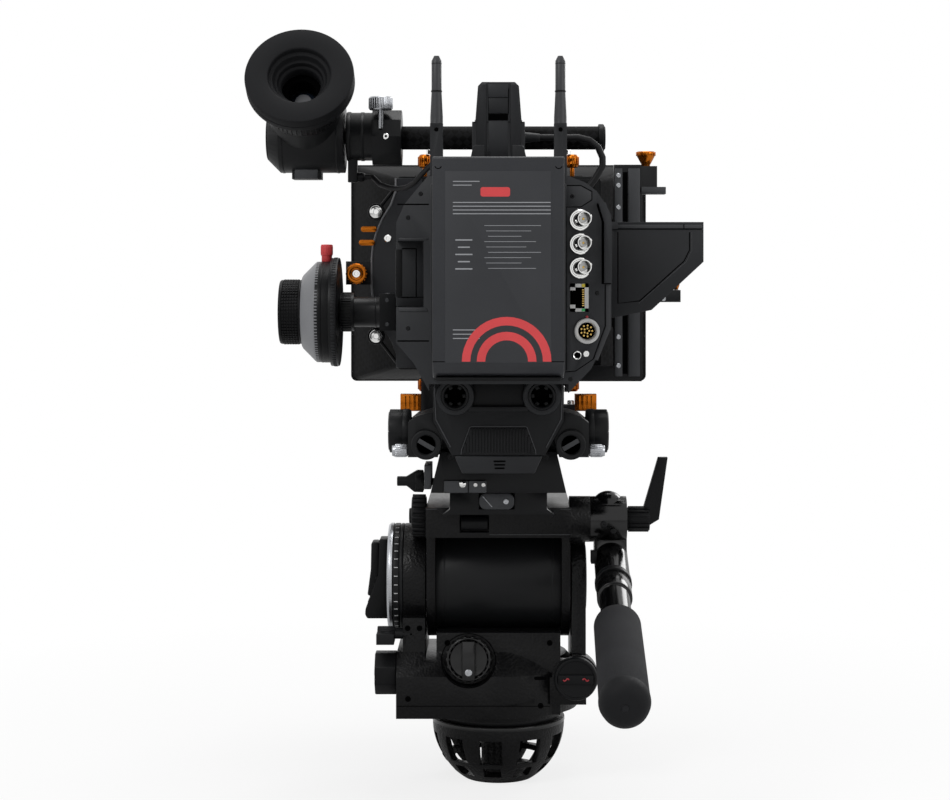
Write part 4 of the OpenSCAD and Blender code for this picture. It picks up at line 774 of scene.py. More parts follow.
@dataclass
class FluidHead:
    """The head: bowl ring, casting details, drum, dials, knobs and pan bar trim."""

    tilt_z: float = 151.0
    cast_face: float = -60.0
    knob_at: tuple[float, float] = (-22.0, 98.1)
    brake_at: tuple[float, float] = (57.0, 83.5)
    dial_x: tuple[float, float] = (-83.7, -71.3)

    def casting(self) -> None:
        """Screws painted near-black as the shade of their holes, the painted shade of the hook slot, seams, cheek cap
        and the black ring over the half ball.
        """
        ring = Piece("bowl_ring", "base", GLOSS_BLACK, 0.2)
        ring.turned([(48, 43.2), (50.25, 43.2), (50.4, 43.6), (50.4, 45.6), (50.25, 46.0), (48, 46.0)],
            facing((0, 0, 0), UP), 96, ring=True).done()
        # Painted shade: the screw heads are near-black, standing for the shade in their holes
        screws = Piece("casting_screws", "pan", BLACK_AND_PAINTED_SHADE)
        for x, y, z in ((-67.4, -45, 119.5), (-58.5, -45, 119.5), (-38, -45, 108.6), (38, -45, 108.6),
                (-66.5, self.cast_face, 70), (31, self.cast_face, 65)):
            screw(screws, (x, y, z), BACK, 2.1, 0.7)
        screws.done()
        # Painted shade: a thin dark sheet on the face stands for the shade inside the hook slot
        slot = Piece("hook_slot", "pan", BLACK_AND_PAINTED_SHADE, 0.3)
        slot.prism(rounded(4.6, 1.3, 1.2, centre=(30.8, 85.2)), behind(-59.8), 0.35).done()
        seam = Piece("casting_seams", "pan", BLACK_AND_PAINTED_SHADE)
        seam.block((-75.0, -60.15, 64.4), (38, -59.9, 64.9))
        seam.band(19.6, 20.3, -0.1, 0.25, facing((self.knob_at[0], self.cast_face, self.knob_at[1]), BACK), 48)
        seam.done()
        cheek_cap = Piece("cheek_cap", "pan", ANODISED, 0.4)
        cheek_cap.turned([(0, 0), (26, 0), (26, 0.8), (24, 1.4), (11, 1.4), (10, 0.7), (0, 0.7)],
            facing((65, 0, self.tilt_z), RIGHT), 64)
        cheek_cap.done()

    def drum(self) -> None:
        """The seams and end rings of the tilt drum, and painted highlights along the platform's edges."""
        rings = Piece("drum_rings", "tilt", ANODISED, 0.2)
        for x in (-40.5, 40.5):
            rings.band(39.0, 40.15, -0.9, 0.9, facing((x, 0, self.tilt_z), RIGHT), 96)
        rings.done()
        roller = Piece("window_roller", "tilt", PLASTIC, 0.3)
        roller.rod((-27.5, -54.2, 198.5), (-8, -54.2, 198.5), 5.2, sides=40)
        roller.done()
        # Painted highlights: pale strips along the platform's edges
        edge = Piece("platform_edges", "tilt", PALE_AND_PAINTED_HIGHLIGHT, 0.1)
        edge.block((-53.2, -58.12, 208.9), (-41.5, -57.9, 209.5)).block((41.5, -58.12, 208.9), (53.2, -57.9, 209.5))
        edge.block((-6.6, -58.15, 190.2), (53, -57.9, 190.7)).done()

    def drag(self) -> None:
        """The drag dial with its seams, notches and pale marks, and the ribs of its crank."""
        low, high = self.dial_x
        dial = Piece("drag_dial_turned", "drag", ANODISED, 0.25, ("drag_dial",))
        w = high - low
        profile = [(0, 0), (36, 0), (39.5, 0.5), (41, 2), (41, 4.4), (40.4, 4.6), (40.4, 5.0), (41, 5.2), (41, w - 3.2),
            (40.2, w - 3.0), (40.2, w - 2.4), (41, w - 2.2), (41, w - 0.6), (40.4, w), (8, w), (8, w + 6), (0, w + 6)]
        dial.turned(profile, facing((low, 0, self.tilt_z), RIGHT), 96).done()
        rim = Piece("dial_rim", "drag", STEEL)
        rim.turned([(40.0, 0.5), (41.1, 1.8), (41.2, 2.2), (41.2, 4.2), (40.0, 4.2)],
            facing((low, 0, self.tilt_z), RIGHT), 96, ring=True).done()
        marks = Piece("dial_marks", "drag", MARK)
        unit = form(MARK).block((-0.3, 40.9, 5.9), (0.3, 41.12, 8.6))
        ring_of(marks, unit, 40, facing((low, 0, self.tilt_z), RIGHT)).done()
        ribs = Piece("crank_ribs", "drag", PLASTIC, 0.25)
        unit = form(PLASTIC).block((-1.0, -10.2, -1.1), (1.0, 10.2, 1.1))
        row_of(ribs, unit, 6, (-1.45, 0, -4.6), Matrix.Translation((-92.3, 0, 151.5))).done()
        grip = Piece("crank_grip", "drag", PLASTIC, 1.6)
        grip.prism([(-90.6, 178.6), (-96.6, 178.6), (-97.0, 158), (-99.6, 138), (-90.6, 138)][::-1],
            behind(-9.6) @ Matrix.Translation((0, 0, -19.2)), 19.2).done()
        boss = Piece("crank_boss", "drag", ANODISED, 0.3)
        boss.turned([(0, 0), (7, 0), (7, 1.2), (6, 1.8), (0, 1.8)], facing((-90.2, 0, 172), LEFT), 40).done()

    def knobs(self) -> None:
        """The counterbalance knob, tilt brake disc and toothed platform wheel."""
        x, z = self.knob_at
        knob = Piece("balance_knob_turned", "balance", GLOSS_BLACK, 0.35, ("balance_knob",))
        at = facing((x, -46.7, z), BACK)
        knob.turned([(0, -9), (4, -9), (4, 0), (16.3, 0), (16.4, 8.6), (15.9, 9.4), (14.8, 9.4), (13.6, 7.4), (0, 7.4)],
            at, 72)
        knob.block((x - 4.5, -62.2, z - 14.2), (x + 4.5, -53, z + 14.2))
        knob.done()
        scallops = Piece("balance_scallops", "balance", GLOSS_BLACK, 0.2)
        unit = form(GLOSS_BLACK).rod((15.4, 0, 0.4), (15.4, 0, 9.0), 1.5, sides=12)
        ring_of(scallops, unit, 18, at).done()
        centre = Piece("balance_screw", "balance", STEEL)
        screw(centre, (x, -62.1, z - 8.5), BACK, 2.6, 0.8).done()
        x, z = self.brake_at
        disc = Piece("tilt_brake_turned", "tilt_brake", PLASTIC, 0.2, ("tilt_brake_knob",))
        disc.turned([(0, -9.5), (4, -9.5), (4, 0.2), (16, 0.2), (16, 6.8), (15.2, 8), (13.6, 8), (13.2, 7.2), (0, 7.2)],
            facing((x, -48.3, z), BACK), 72)
        disc.block((x - 13, -57.3, z - 3.2), (x + 13, -55.2, z + 3.2))
        disc.done()
        signs = Piece("tilt_brake_marks", "tilt_brake", RED)
        for side in (-1, 1):
            wave = [(x + side * (5.0 + 0.55 * k), -57.4, z + 0.9 * math.sin(k * 0.785)) for k in range(9)]
            signs.swept(wave, 0.5, 8)
        signs.done()
        wheel = Piece("platform_wheel_toothed", "platform_wheel", PLASTIC, 0.3, ("platform_knob",))
        at = facing((-53.8, -30, 201.3), LEFT)
        wheel.turned([(0, -10), (4, -10), (4, 0), (14.2, 0), (14.6, 0.8), (14.6, 10.2), (13.6, 11), (6, 11), (5.4, 13),
            (0, 13)], at, 64)
        unit = form(PLASTIC).rod((14.5, 0, 0.6), (14.5, 0, 10.4), 1.55, sides=14)
        ring_of(wheel, unit, 20, at).done()
        grub = Piece("pan_knob_screw", "pan_drag", STEEL)
        screw(grub, (-91.6, -38, 85.5), LEFT, 3.0, 0.9).done()

    def bar(self) -> None:
        """The clamp's screws, the lever's ribs and the collar and cap of the grip."""
        along = Vector((-0.022315, -0.983330, -0.180519))
        start = Vector((83.5, -40, 172.4))
        collar = Piece("bar_collar", "bar", ANODISED, 0.2)
        collar.turned([(12.4, 0), (13.1, 0), (13.3, 0.6), (13.3, 6.4), (13.1, 7), (12.4, 7)],
            facing(start + along * 60.4, along), 64, ring=True).done()
        tab = Piece("bar_tab", "bar", PLASTIC, 0.4)
        tab.block((67.4, -73, 171), (71.6, -62, 180)).done()
        ribs = Piece("lever_ribs", "bar_lever", PLASTIC, 0.2)
        unit = form(PLASTIC).block((7.9, -1.0, 1.2), (9.5, 1.0, 16.2))
        ring_of(ribs, unit, 16, facing((95.2, -40, 200), RIGHT)).done()
        pin = Piece("lever_pin", "bar_lever", CHROME)
        pin.rod((94.2, -40, 200), (96.2, -40, 200), 5.2).done()
        screws = Piece("clamp_screws", "bar", ANODISED)
        screw(screws, (77.5, -57, 198), BACK, 2.6, 0.8)
        screw(screws, (84.5, -57.2, 193), BACK, 2.0, 0.6).done()
        cap = Piece("grip_cap", "bar_slide", RUBBER, 0.0)
        tip = start + along * (68 + 84 + 142)
        cap.turned([(15.9, -11), (16.2, -11), (16.3, -8.2), (15.3, -3.6), (12.6, 0.2), (9, 2.3), (3.0, 2.75),
            (2.2, 1.9), (0, 1.7)], facing(tip, along), 64).done()

    def build(self) -> None:
        """Makes every detail of the head."""
        self.casting()
        self.drum()
        self.drag()
        self.knobs()
        self.bar()


@dataclass
class PlateAndShoulder:
    """Latch, jaws and lever of the plates; sockets, pad and lip of the shoulder mount; rod brackets."""

    boss_face: float = -121.4
    shoulder_rear: float = -154.0
    socket_z: float = 298.0
    rod_at: tuple[float, float] = (50.0, 264.25)

    def plates(self) -> None:
        """The parts on the sliding plate and the wedge plate."""
        latch = Piece("latch_details", "latch", STEEL)
        screw(latch, (5.5, -73.4, 216.5), BACK, 2.0, 0.6)
        latch.rod((-11.5, -73.4, 220.4), (-4.6, -73.4, 212.6), 0.35, sides=8)
        latch.done()
        jaw = Piece("wedge_jaw", "camera", ANODISED_GREY, 0.5)
        jaw.block((-52.6, -116, 229.8), (-47.6, -84, 247)).block((-46.6, -112, 228), (-33.5, -71, 232.5))
        jaw.done()
        ruler = Piece("plate_rails", "camera", ANODISED, 0.2)
        for s in (-1, 1):
            ruler.prism([(s * 46.5, 209.9), (s * 34, 209.9), (s * 38.5, 203.8), (s * 39.5, 203.8)], behind(-57), 1.2)
        ruler.done()
        plate = Piece("boss_plate", "camera", ANODISED_GREY, 0.35)
        plate.prism(rounded(6.2, 4.2, 0.8, centre=(-14.6, 232.2)), behind(self.boss_face), 1.0)
        plate.prism(rounded(8.4, 4.2, 0.8, centre=(-30, 232.2)), behind(self.boss_face), 0.8).done()
        bright = Piece("boss_ball", "camera", CHROME)
        bright.turned([(0, -1), (3.0, -1), (3.0, 0), (2.4, 1.4), (1.2, 2.2), (0, 2.4)],
            facing((-25.2, -122.2, 234.2), BACK), 32)
        for x in (-11.2, -5.6):
            screw(bright, (x - 5, -122.3, 233.6), BACK, 1.6, 0.7)
        bright.done()
        lever = Piece("wedge_lever_wing", "wedge_lock", PLASTIC, 0.6)
        lever.prism([(-73, -3), (-66, -3.2), (-60.5, -7.6), (-54, -7.8), (-54, 7.8), (-58.5, 8), (-63, 5.4),
            (-66.5, 3.2), (-73, 3)], Matrix.Translation((0, -86.6, 233.1)) @ Matrix.Rotation(math.radians(90), 4, "X"),
            6.8)
        lever.done()
        stem = Piece("wedge_lever_stem", "wedge_lock", CHROME)
        stem.rod((-54.2, -90, 233.1), (-48.2, -90, 233.1), 2.6, sides=24).done()

    def shoulder(self) -> None:
        """Sockets with painted shade deep inside, the recess with painted shade on its floor, ribbed pad with a painted
        highlight round it, latch lip with painted shade in its slots, and painted highlights along the mount's edges.
        """
        y = self.shoulder_rear
        rims = Piece("socket_rims", "camera", ANODISED, 0.25)
        # Painted shade: a near-black disc at the bottom of each socket
        hollows = Piece("socket_hollows", "camera", BLACK_AND_PAINTED_SHADE)
        for x in (-30, 30):
            at = facing((x, y, self.socket_z), BACK)
            rims.turned([(7.6, -6), (8.3, -6), (9.6, 0.1), (9.6, 0.7), (8.9, 1.0), (7.9, 0.6), (7.6, 0)], at, 56,
                ring=True)
            unit = form(ANODISED).block((5.2, -1.3, -4.4), (7.7, 1.3, -2.6))
            ring_of(rims, unit, 6, at)
            hollows.disc(7.5, -9, -8, at, 40)
        rims.done()
        hollows.done()
        # Painted shade: the recess floor takes a darker black than the shoulder round it
        recess = Piece("recess_panel", "camera", PLASTIC, 0.3)
        recess.block((-17.6, y + 2.6, 291), (17.6, y + 3.2, 308.4)).done()
        lip = Piece("recess_lip", "camera", SHOULDER, 0.5)
        lip.block((-20.5, y - 0.9, 287.4), (20.5, y + 0.4, 290.8)).done()
        # Painted highlight: a pale line along the pad's bevelled border
        line = Piece("pad_border", "camera", PALE_AND_PAINTED_HIGHLIGHT)
        outline = [(-25.8, 257.9), (-25.4, 261), (-19.8, 276.4), (-18.6, 277.2), (18.6, 277.2), (19.8, 276.4),
            (25.4, 261), (25.8, 257.9)]
        line.swept([(x, y - 0.9, z) for x, z in outline], 0.35, 6).done()
        ribs = Piece("pad_ribs", "camera", SHOULDER)
        for k in range(23):
            x = -23.1 + k * 2.1
            top = 276.0 if abs(x) < 19.2 else 276.0 - (abs(x) - 19.2) * 2.65
            ribs.prism([(x - 0.62, 258.4), (x + 0.62, 258.4), (x + 0.62, top), (x - 0.62, top)], behind(y - 0.95), 0.75,
                0.86)
        ribs.done()
        # Painted shade: flat dark shapes on the lip stand for the shade in its slots
        slots = Piece("lip_slots", "shoulder_release", BLACK_AND_PAINTED_SHADE)
        for k in range(3):
            slots.prism(rounded(4.2 - 0.35 * k, 0.55, 0.5, centre=(0.8, 253.0 - 2.4 * k)), behind(y - 0.05), 0.25)
        slots.done()
        shell = Piece("socket_bosses", "camera", BODY, 0.3)
        for x in (-30, 30):
            shell.turned([(9.8, -1), (13.2, -1), (13.2, 0.5), (12.6, 1.0), (9.8, 1.0)],
                facing((x, y, self.socket_z), BACK), 56, ring=True)
        shell.done()
        # Painted highlights: pale lines along the mount's bevelled edges
        edges = Piece("shoulder_edges", "camera", PALE_AND_PAINTED_HIGHLIGHT)
        for s in (-1, 1):
            edges.swept(at_depth(y - 0.1, [(s * 44.2, 307.5), (s * 43.2, 282.0), (s * 33.0, 262.8)]), 0.45, 6)
            edges.swept([(s * 19.6, y - 0.1, 307.5), (s * 19.6, y - 0.1, 292.0)], 0.35, 6)
        edges.done()
        foot = Piece("mount_screws", "camera", ANODISED)
        for x in (-33.5, 33.2):
            screw(foot, (x, -121.2, 253.6), BACK, 2.4, 1.0)
        foot.done()

    def brackets(self) -> None:
        """Rod ends with painted shade in their hollows and a painted highlight across them, rosette teeth and lock
        knobs.
        """
        x0, z0 = self.rod_at
        ends = Piece("rod_end_caps", "camera", ANODISED, 0.25)
        # Painted highlight: a pale diagonal bar across each hollow rod end
        slots = Piece("rod_end_slots", "camera", PALE_AND_PAINTED_HIGHLIGHT, 0.2)
        for s in (-1, 1):
            at = facing((s * x0, -152, z0), BACK)
            ends.turned([(6.4, -2), (9.8, -2), (10.4, -0.5), (10.4, 0.6), (9.8, 1.2), (7.4, 1.2), (6.4, 0.2)], at, 56,
                ring=True)
            slots.block((-1.6, -6.2, -0.4), (1.6, 6.2, 0.5), at @ Matrix.Rotation(math.radians(30 * s + 90), 4, "Z"))
        ends.done()
        slots.done()
        bridge = Piece("clamp_bridge", "camera", ANODISED, 0.6)
        bridge.block((-52, -112, 254), (52, -105, 284)).done()
        # Painted shade: a near-black disc inside each hollow rod end
        discs = Piece("rod_end_discs", "camera", BLACK_AND_PAINTED_SHADE)
        for s in (-1, 1):
            discs.disc(6.4, -0.6, 0, facing((s * x0, -152, z0), BACK), 40)
        discs.done()
        teeth = Piece("rosette_teeth", "camera", ANODISED)
        rims = Piece("rosette_rims", "camera", ANODISED, 0.4)
        for s in (-1, 1):
            at = facing((s * 76.6, -120, 271.5), (s, 0, 0))
            unit = form(ANODISED).prism([(8, -0.42), (14.6, -0.75), (14.6, 0.75), (8, 0.42)],
                Matrix.Translation((0, 0, -0.2)), 1.0, 0.55)
            ring_of(teeth, unit, 60, at)
            rims.turned([(14.9, -14), (15.25, -14), (15.25, -0.3), (14.9, 0)], at, 72, ring=True)
            rims.band(8.4, 15.6, -13.6, -9.4, at, 48)
        teeth.done()
        rims.done()
        for side, body in ((-1, "lock_left"), (1, "lock_right")):
            knob = Piece(f"rod_{body}_knob", body, STEEL, 0.15, (f"rod_{body}",))
            at = facing((side * 56.9, -143, 259.5), (side, 0, 0))
            knob.turned([(0, 0), (2, 0), (2, 6.1), (3.8, 6.1), (4.2, 6.9), (4.2, 15.2), (3.6, 17), (0, 17)], at, 32)
            unit = form(STEEL).rod((4.15, 0, 7.4), (4.15, 0, 15), 0.42, sides=8)
            ring_of(knob, unit, 18, at).done()

    def build(self) -> None:
        """Makes every detail of the plates and the shoulder mount."""
        self.plates()
        self.shoulder()
        self.brackets()


@dataclass
class CameraBody:
    """Battery, connectors, panel lines, side display, handle and antennas."""

    battery_rear: float = -268.0
    panel_rear: float = -200.0
    handle_rear: float = -150.0
    deck_z: float = 447.8
    pad_top: float = 516.3
    coax_x: float = 54.5
    coax_z: tuple[float, float, float] = (418.4, 402.4, 386.3)

    def battery(self) -> None:
        """The battery's case, its label with a plain pattern, and its seams."""
        y = self.battery_rear
        Piece("battery_case", "battery", BATTERY, 1.3, ("battery",)).copy_of("battery").done(outward=False)
        label = Piece("battery_label", "battery", LABEL, 0.1)
        label.prism(rounded(33.7, 61.0, 0.8, centre=(-0.3, 386.9)), behind(y), 0.22).done()
        lines = Piece("label_lines", "battery", LABEL_LINE)
        for z, low, high in ((427.6, -29, 33.2), (425.2, -29, 33.2), (422.8, -29, 33.2), (420.4, -29, 33.2),
                (441.0, -29, -12), (438.6, -29, -17), (346.5, -29, -12), (343.8, -29, -12), (341.1, -29, -12)):
            lines.prism([(low, z), (high, z), (high, z + 0.55), (low, z + 0.55)], behind(y - 0.2), 0.06)
        for k in range(5):
            lines.prism(rounded(5.5 - (k % 2) * 1.6, 0.42, 0.4, centre=(-22, 404 - 4.6 * k)), behind(y - 0.2), 0.06)
        for k in range(9):
            low, high = -9 + (k % 3) * 1.2, 27 - (k * 7 % 5) * 3.1
            lines.prism([(low, 413 - 3.4 * k), (high, 413 - 3.4 * k), (high, 413.3 - 3.4 * k), (low, 413.3 - 3.4 * k)],
                behind(y - 0.2), 0.06)
        lines.done()
        red = Piece("label_pattern", "battery", LABEL_RED)
        red.prism(rounded(9.4, 3.0, 1.4, centre=(-2, 434.6)), behind(y - 0.2), 0.07)
        for r in (28.5, 19.0):
            ring = arc_of((5.2, 326.6), r, range(0, 181, 9))
            inner = arc_of((5.2, 326.6), r - 5.4, range(180, -1, -9))
            for k in range(len(ring) - 1):
                quad = [ring[k], ring[k + 1], inner[len(inner) - 2 - k], inner[len(inner) - 1 - k]]
                red.prism(quad, behind(y - 0.2), 0.07)
        red.done()
        seams = Piece("battery_seams", "battery", BLACK_AND_PAINTED_SHADE)
        seams.block((-41.9, y - 0.06, 326.3), (41.9, y + 0.1, 326.8))
        for s in (-1, 1):
            seams.swept(at_depth(y - 0.02, arc_of((s * 38.4, 451.6), 2.2, range(200, 341, 20))), 0.3, 6)
            seams.block((s * 42.1 - 0.12, -255, 327), (s * 42.1 + 0.12, -254.4, 456))
        seams.done()
        gauge = Piece("battery_lamps", "battery", MARK, 0.1)
        unit = form(MARK).prism(rounded(1.1, 0.5, 0.4), Matrix.Rotation(math.radians(90), 4, "Y"), 0.25)
        row_of(gauge, unit, 4, (0, 0, 4.2), Matrix.Translation((41.95, -244, 434))).done()
        dark = Piece("battery_foot", "battery", PLASTIC, 0.5)
        dark.block((-40.5, -262, 315.1), (40.5, -219, 316.2)).done()

    def sockets(self) -> None:
        """Coaxial sockets, network, power and headset sockets."""
        y = self.panel_rear
        chrome = Piece("coax_shells", "camera", CHROME, 0.0, ("rear_sockets",))
        dark = Piece("socket_shadows", "camera", BLACK_AND_PAINTED_SHADE)
        pins = Piece("gold_pins", "camera", GOLD)
        white = Piece("socket_insulators", "camera", WHITE)
        aim = Vector((0.2, -0.97, 0.06)).normalized()
        for z in self.coax_z:
            foot = Vector((self.coax_x, y, z))
            at = facing(foot, BACK)
            chrome.turned([(0, -2), (7.1, -2), (7.1, 1.5), (6.7, 1.9), (5.8, 1.9), (5.5, 1.2), (0, 1.2)], at, 40)
            out = facing(foot, aim)
            chrome.turned([(4.9, -1), (4.9, 12.6), (4.7, 13.2), (4.15, 13.2), (4.0, 12.6), (4.0, -1)], out, 40,
                ring=True)
            for spin in (20, 200):
                lug = out @ Matrix.Rotation(math.radians(spin), 4, "Z")
                chrome.rod(lug @ Vector((4.6, 0, 9.4)), lug @ Vector((5.9, 0, 9.4)), 1.05, sides=14)
            chrome.disc(3.95, 3.6, 4.0, out, 32)
            white.band(0.9, 2.6, 4, 9.5, out, 24)
            pins.rod(out @ Vector((0, 0, 2)), out @ Vector((0, 0, 9.4)), 0.65, sides=12)
        white.block((47.9, y - 0.55, 357.2), (60.2, y + 0.3, 359.4)).block((47.9, y - 0.55, 373.4),
            (60.2, y + 0.3, 375.8))
        white.block((47.9, y - 0.55, 357.2), (51.4, y + 0.3, 361.8)).block((47.9, y - 0.55, 371.4),
            (51.4, y + 0.3, 375.8))
        white.block((57.6, y - 0.55, 357.2), (60.2, y + 0.3, 375.8))
        dark.block((49.8, y + 6, 359.6), (58.4, y + 7, 373.4))
        for k in range(8):
            pins.block((56.0, y + 1.2, 360.9 + k * 1.5), (57.5, y + 4.5, 361.5 + k * 1.5))
        centre = facing((59.1, y, 344.2), BACK)
        white.turned([(5.6, -10), (7.6, -10), (8.5, 0), (8.5, 1.0), (8.0, 1.5), (6.7, 1.5), (6.1, 0.8), (5.6, -4)],
            centre, 56, ring=True)
        dark.disc(5.8, -9.2, -8.8, centre, 40)
        for r, count in ((3.7, 9), (1.7, 5)):
            unit = form(GOLD).rod((r, 0, -9), (r, 0, -3.4), 0.62, sides=10)
            ring_of(pins, unit, count, centre)
        jack = facing((52.5, y, 328), BACK)
        chrome.turned([(2.0, -6), (2.9, -6), (2.9, 0.3), (2.5, 0.6), (2.0, 0.3)], jack, 32, ring=True)
        dark.disc(2.1, -0.4, 0.1, jack, 24)
        screw(chrome, (58.5, y, 329), BACK, 2.1, 0.7)
        for piece in (chrome, dark, pins, white):
            piece.done()
        lamps = Piece("network_lamp_upper", "camera", YELLOW_LED)
        lamps.block((55.6, y - 0.7, 373.6), (57.8, y + 0.2, 375.6)).done()
        lamps = Piece("network_lamp_lower", "camera", GREEN_LED)
        lamps.block((55.6, y - 0.7, 357.4), (57.8, y + 0.2, 359.2)).done()
        dot = Piece("power_dot", "camera", RED)
        dot.turned([(0, 0), (1.0, 0), (0.8, 0.35), (0, 0.45)], facing((59.1, y, 353.6), BACK), 20).done()

    def panel(self) -> None:
        """Recesses, seams, screws and slots of the rear panel and plate, with painted shadows, painted highlights on
        bevels and lips, and painted shade along the recess's outline.
        """
        y = self.panel_rear
        dark = Piece("panel_shadows", "camera", BLACK_AND_PAINTED_SHADE)
        dark.prism([(65.7, 427.8), (65.7, 429.4), (67.4, 429.4), (71.0, 418.7), (71.0, 379.2), (75.2, 378),
            (75.2, 375.6), (68.9, 375.6), (68.9, 417.7)], behind(y + 0.05), 0.2)
        dark.swept(at_depth(y, [(44.4, 441.5), (55.1, 441.5), (62.5, 437.5), (62.5, 431.8), (55.1, 427.1),
            (44.4, 427.1)]), 0.32, 6)
        dark.swept(at_depth(y, [(71.3, 375.4), (71.3, 347.5), (63.3, 325.4), (51.6, 317.5), (44.6, 316.8)]), 0.3, 6)
        dark.swept([(45.6, y, 427), (45.6, y, 318)], 0.25, 6)
        dark.block((-67.6, y - 0.12, 428.4), (-46.5, y + 0.1, 429.3)).block((-67.6, y - 0.12, 337.1),
            (-46.5, y + 0.1, 338))
        dark.block((-67.4, y - 0.1, 366.5), (-50.2, y - 0.02, 367.1))
        dark.done()
        # Painted highlights: pale faces on the panel's bevels
        light = Piece("panel_bevels", "camera", PALE_AND_PAINTED_HIGHLIGHT, 0.15)
        light.prism([(71.9, 375), (74.9, 375), (74.9, 346), (66.4, 324.5), (63.9, 325.4), (71.9, 347.3)], behind(y),
            0.4)
        light.prism([(44.9, 440.9), (54.9, 440.9), (61.9, 437.1), (61.9, 432.2), (54.9, 427.7), (44.9, 427.7)],
            behind(y), 0.12)
        light.done()
        recess = Piece("finger_recess_floor", "camera", BODY, 0.3)
        recess.block((-69.2, -184.5, 360.4), (-50.3, -184.05, 404.2)).block((-50.4, -199.5, 360.4),
            (-50.02, -184.5, 404.2)).done()
        # Painted shade: dark lines along two sides of the inset's step
        inset = Piece("recess_outline", "camera", BLACK_AND_PAINTED_SHADE)
        inset.swept(at_depth(-184.6, [(-55.6, 399.4), (-55.6, 366.4), (-65.4, 366.4)]), 0.35, 6)
        inset.swept([(-55.6, -184.6, 399.4), (-65.4, -184.6, 399.4)], 0.35, 6).done()
        # Painted highlights: pale lips along the finger recess's edges
        lips = Piece("recess_lips", "camera", PALE_AND_PAINTED_HIGHLIGHT, 0.3)
        lips.prism([(-66.5, 357.4), (-47, 357.4), (-48.6, 359.8), (-66.5, 359.8)], behind(y), 0.7)
        lips.prism([(-66.5, 405.2), (-47, 405.2), (-47, 406.4), (-66.5, 406.4)], behind(y), 0.5).done()
        edge = Piece("door_edge", "door", PLASTIC, 0.3)
        edge.block((-69.4, -184.6, 367), (-64.9, -183.9, 399)).done()
        plate = Piece("plate_trim", "camera", BODY, 0.6)
        for s in (-1, 1):
            plate.block((s * 43.6 - 1.1, -216, 330), (s * 43.6 + 1.1, -201, 442))
        plate.done()
        screws = Piece("panel_screws", "camera", ANODISED)
        for x, z in ((-60.5, 420), (-60.5, 346), (48.2, 312), (-52, 436), (66, 369.5), (49.4, 434.2)):
            screw(screws, (x, y, z), BACK, 1.5, 0.4)
        screws.done()
        band = Piece("red_release_strip", "release", RED, 0.3, ("battery_release",))
        band.block((-44, -213, 390), (-37.3, -204, 409)).done()

    def sides(self) -> None:
        """The side display, the vents of the side and deck as painted shade, the keys of the body and the door, and the
        screws of the deck.
        """
        screen = Piece("side_display", "camera", GLASS_DARK, 0.2)
        screen.block((79.9, -90, 356.6), (80.22, -4, 410.4)).done()
        bezel = Piece("display_bezel", "camera", PLASTIC, 0.4)
        bezel.block((79.2, -93.6, 353.4), (80.1, -90, 413.6)).block((79.2, -4, 353.4), (80.1, -0.4, 413.6))
        bezel.block((79.2, -90, 353.4), (80.1, -4, 356.6)).block((79.2, -90, 410.4), (80.1, -4, 413.6)).done()
        # Painted shade: near-black strips stand for the shade in the side vents
        vents = Piece("side_vents", "camera", BLACK_AND_PAINTED_SHADE)
        for z in (343.0, 339.5, 336.0):
            unit = form(BLACK_AND_PAINTED_SHADE).block((-0.25, -4.2, -0.9), (0.25, 4.2, 0.9))
            row_of(vents, unit, 9, (0, 11.5, 0), Matrix.Translation((70.2, -112,
                z - 6)) @ Matrix.Rotation(math.radians(-25), 4, "Y"))
        vents.done()
        keys = Piece("body_keys", "camera", PLASTIC, 0.3)
        for k in range(4):
            keys.turned([(0, -0.5), (3.6, -0.5), (3.6, 0.7), (3.0, 1.1), (0, 1.1)],
                facing((75.5, -170 + 14 * k, 396), RIGHT), 32)
        for k in range(3):
            keys.prism(rounded(5.2, 2.4, 1.2), facing((75.4, -168 + 19 * k, 378), RIGHT, 90), 0.9)
        keys.done()
        record_key = Piece("record_key", "camera", RED, 0.2)
        record_key.turned([(0, 0), (4.6, 0), (4.6, 1.0), (4.0, 1.5), (0, 1.3)], facing((75.5, -112, 396), RIGHT),
            40).done()
        door = Piece("door_trim", "door", PALE_AND_PAINTED_HIGHLIGHT, 0.25)
        door.prism(rounded(66, 36, 3), Matrix.Translation((-68.3, -112, 376.2)) @ facing((0, 0, 0), LEFT), 0.35,
            0.99).done()
        pads = Piece("door_keys", "door", PLASTIC, 0.25)
        for k in range(2):
            unit = form(PLASTIC).prism(rounded(3.4, 2.4, 1.0), facing((0, 0, 0), LEFT), 0.8)
            row_of(pads, unit, 6, (0, 12.0, 0), Matrix.Translation((-68.6, -167, 355 + 11 * k)))
        pads.done()
        panel = Piece("door_panel", "door", GLASS_DARK, 0.2)
        panel.block((-68.95, -160, 379), (-68.6, -92, 407)).done()
        dial = Piece("door_dial", "door", ANODISED_GREY, 0.2)
        dial.turned([(0, 0), (7.5, 0), (7.5, 2.0), (6.6, 2.7), (0, 2.4)], facing((-68.5, -72, 392), LEFT), 40)
        dial.done()
        deck = Piece("deck_screws", "camera", STEEL)
        for x in (-36, 36):
            for y in (-172, -60, -6):
                screw(deck, (x, y, self.deck_z), UP, 2.0, 0.6)
        deck.done()
        # Painted shade: near-black strips stand for the shade in the deck vents
        slots = Piece("deck_vents", "camera", BLACK_AND_PAINTED_SHADE)
        row_of(slots, form(BLACK_AND_PAINTED_SHADE).block((-8, -0.8, -0.2), (8, 0.8, 0.12)), 8, (0, 4.4, 0),
            Matrix.Translation((34, -52, self.deck_z + 0.05)))
        row_of(slots, form(BLACK_AND_PAINTED_SHADE).block((-7, -0.8, -0.2), (7, 0.8, 0.12)), 8, (0, 4.4, 0),
            Matrix.Translation((-32, -46, self.deck_z + 0.05))).done()

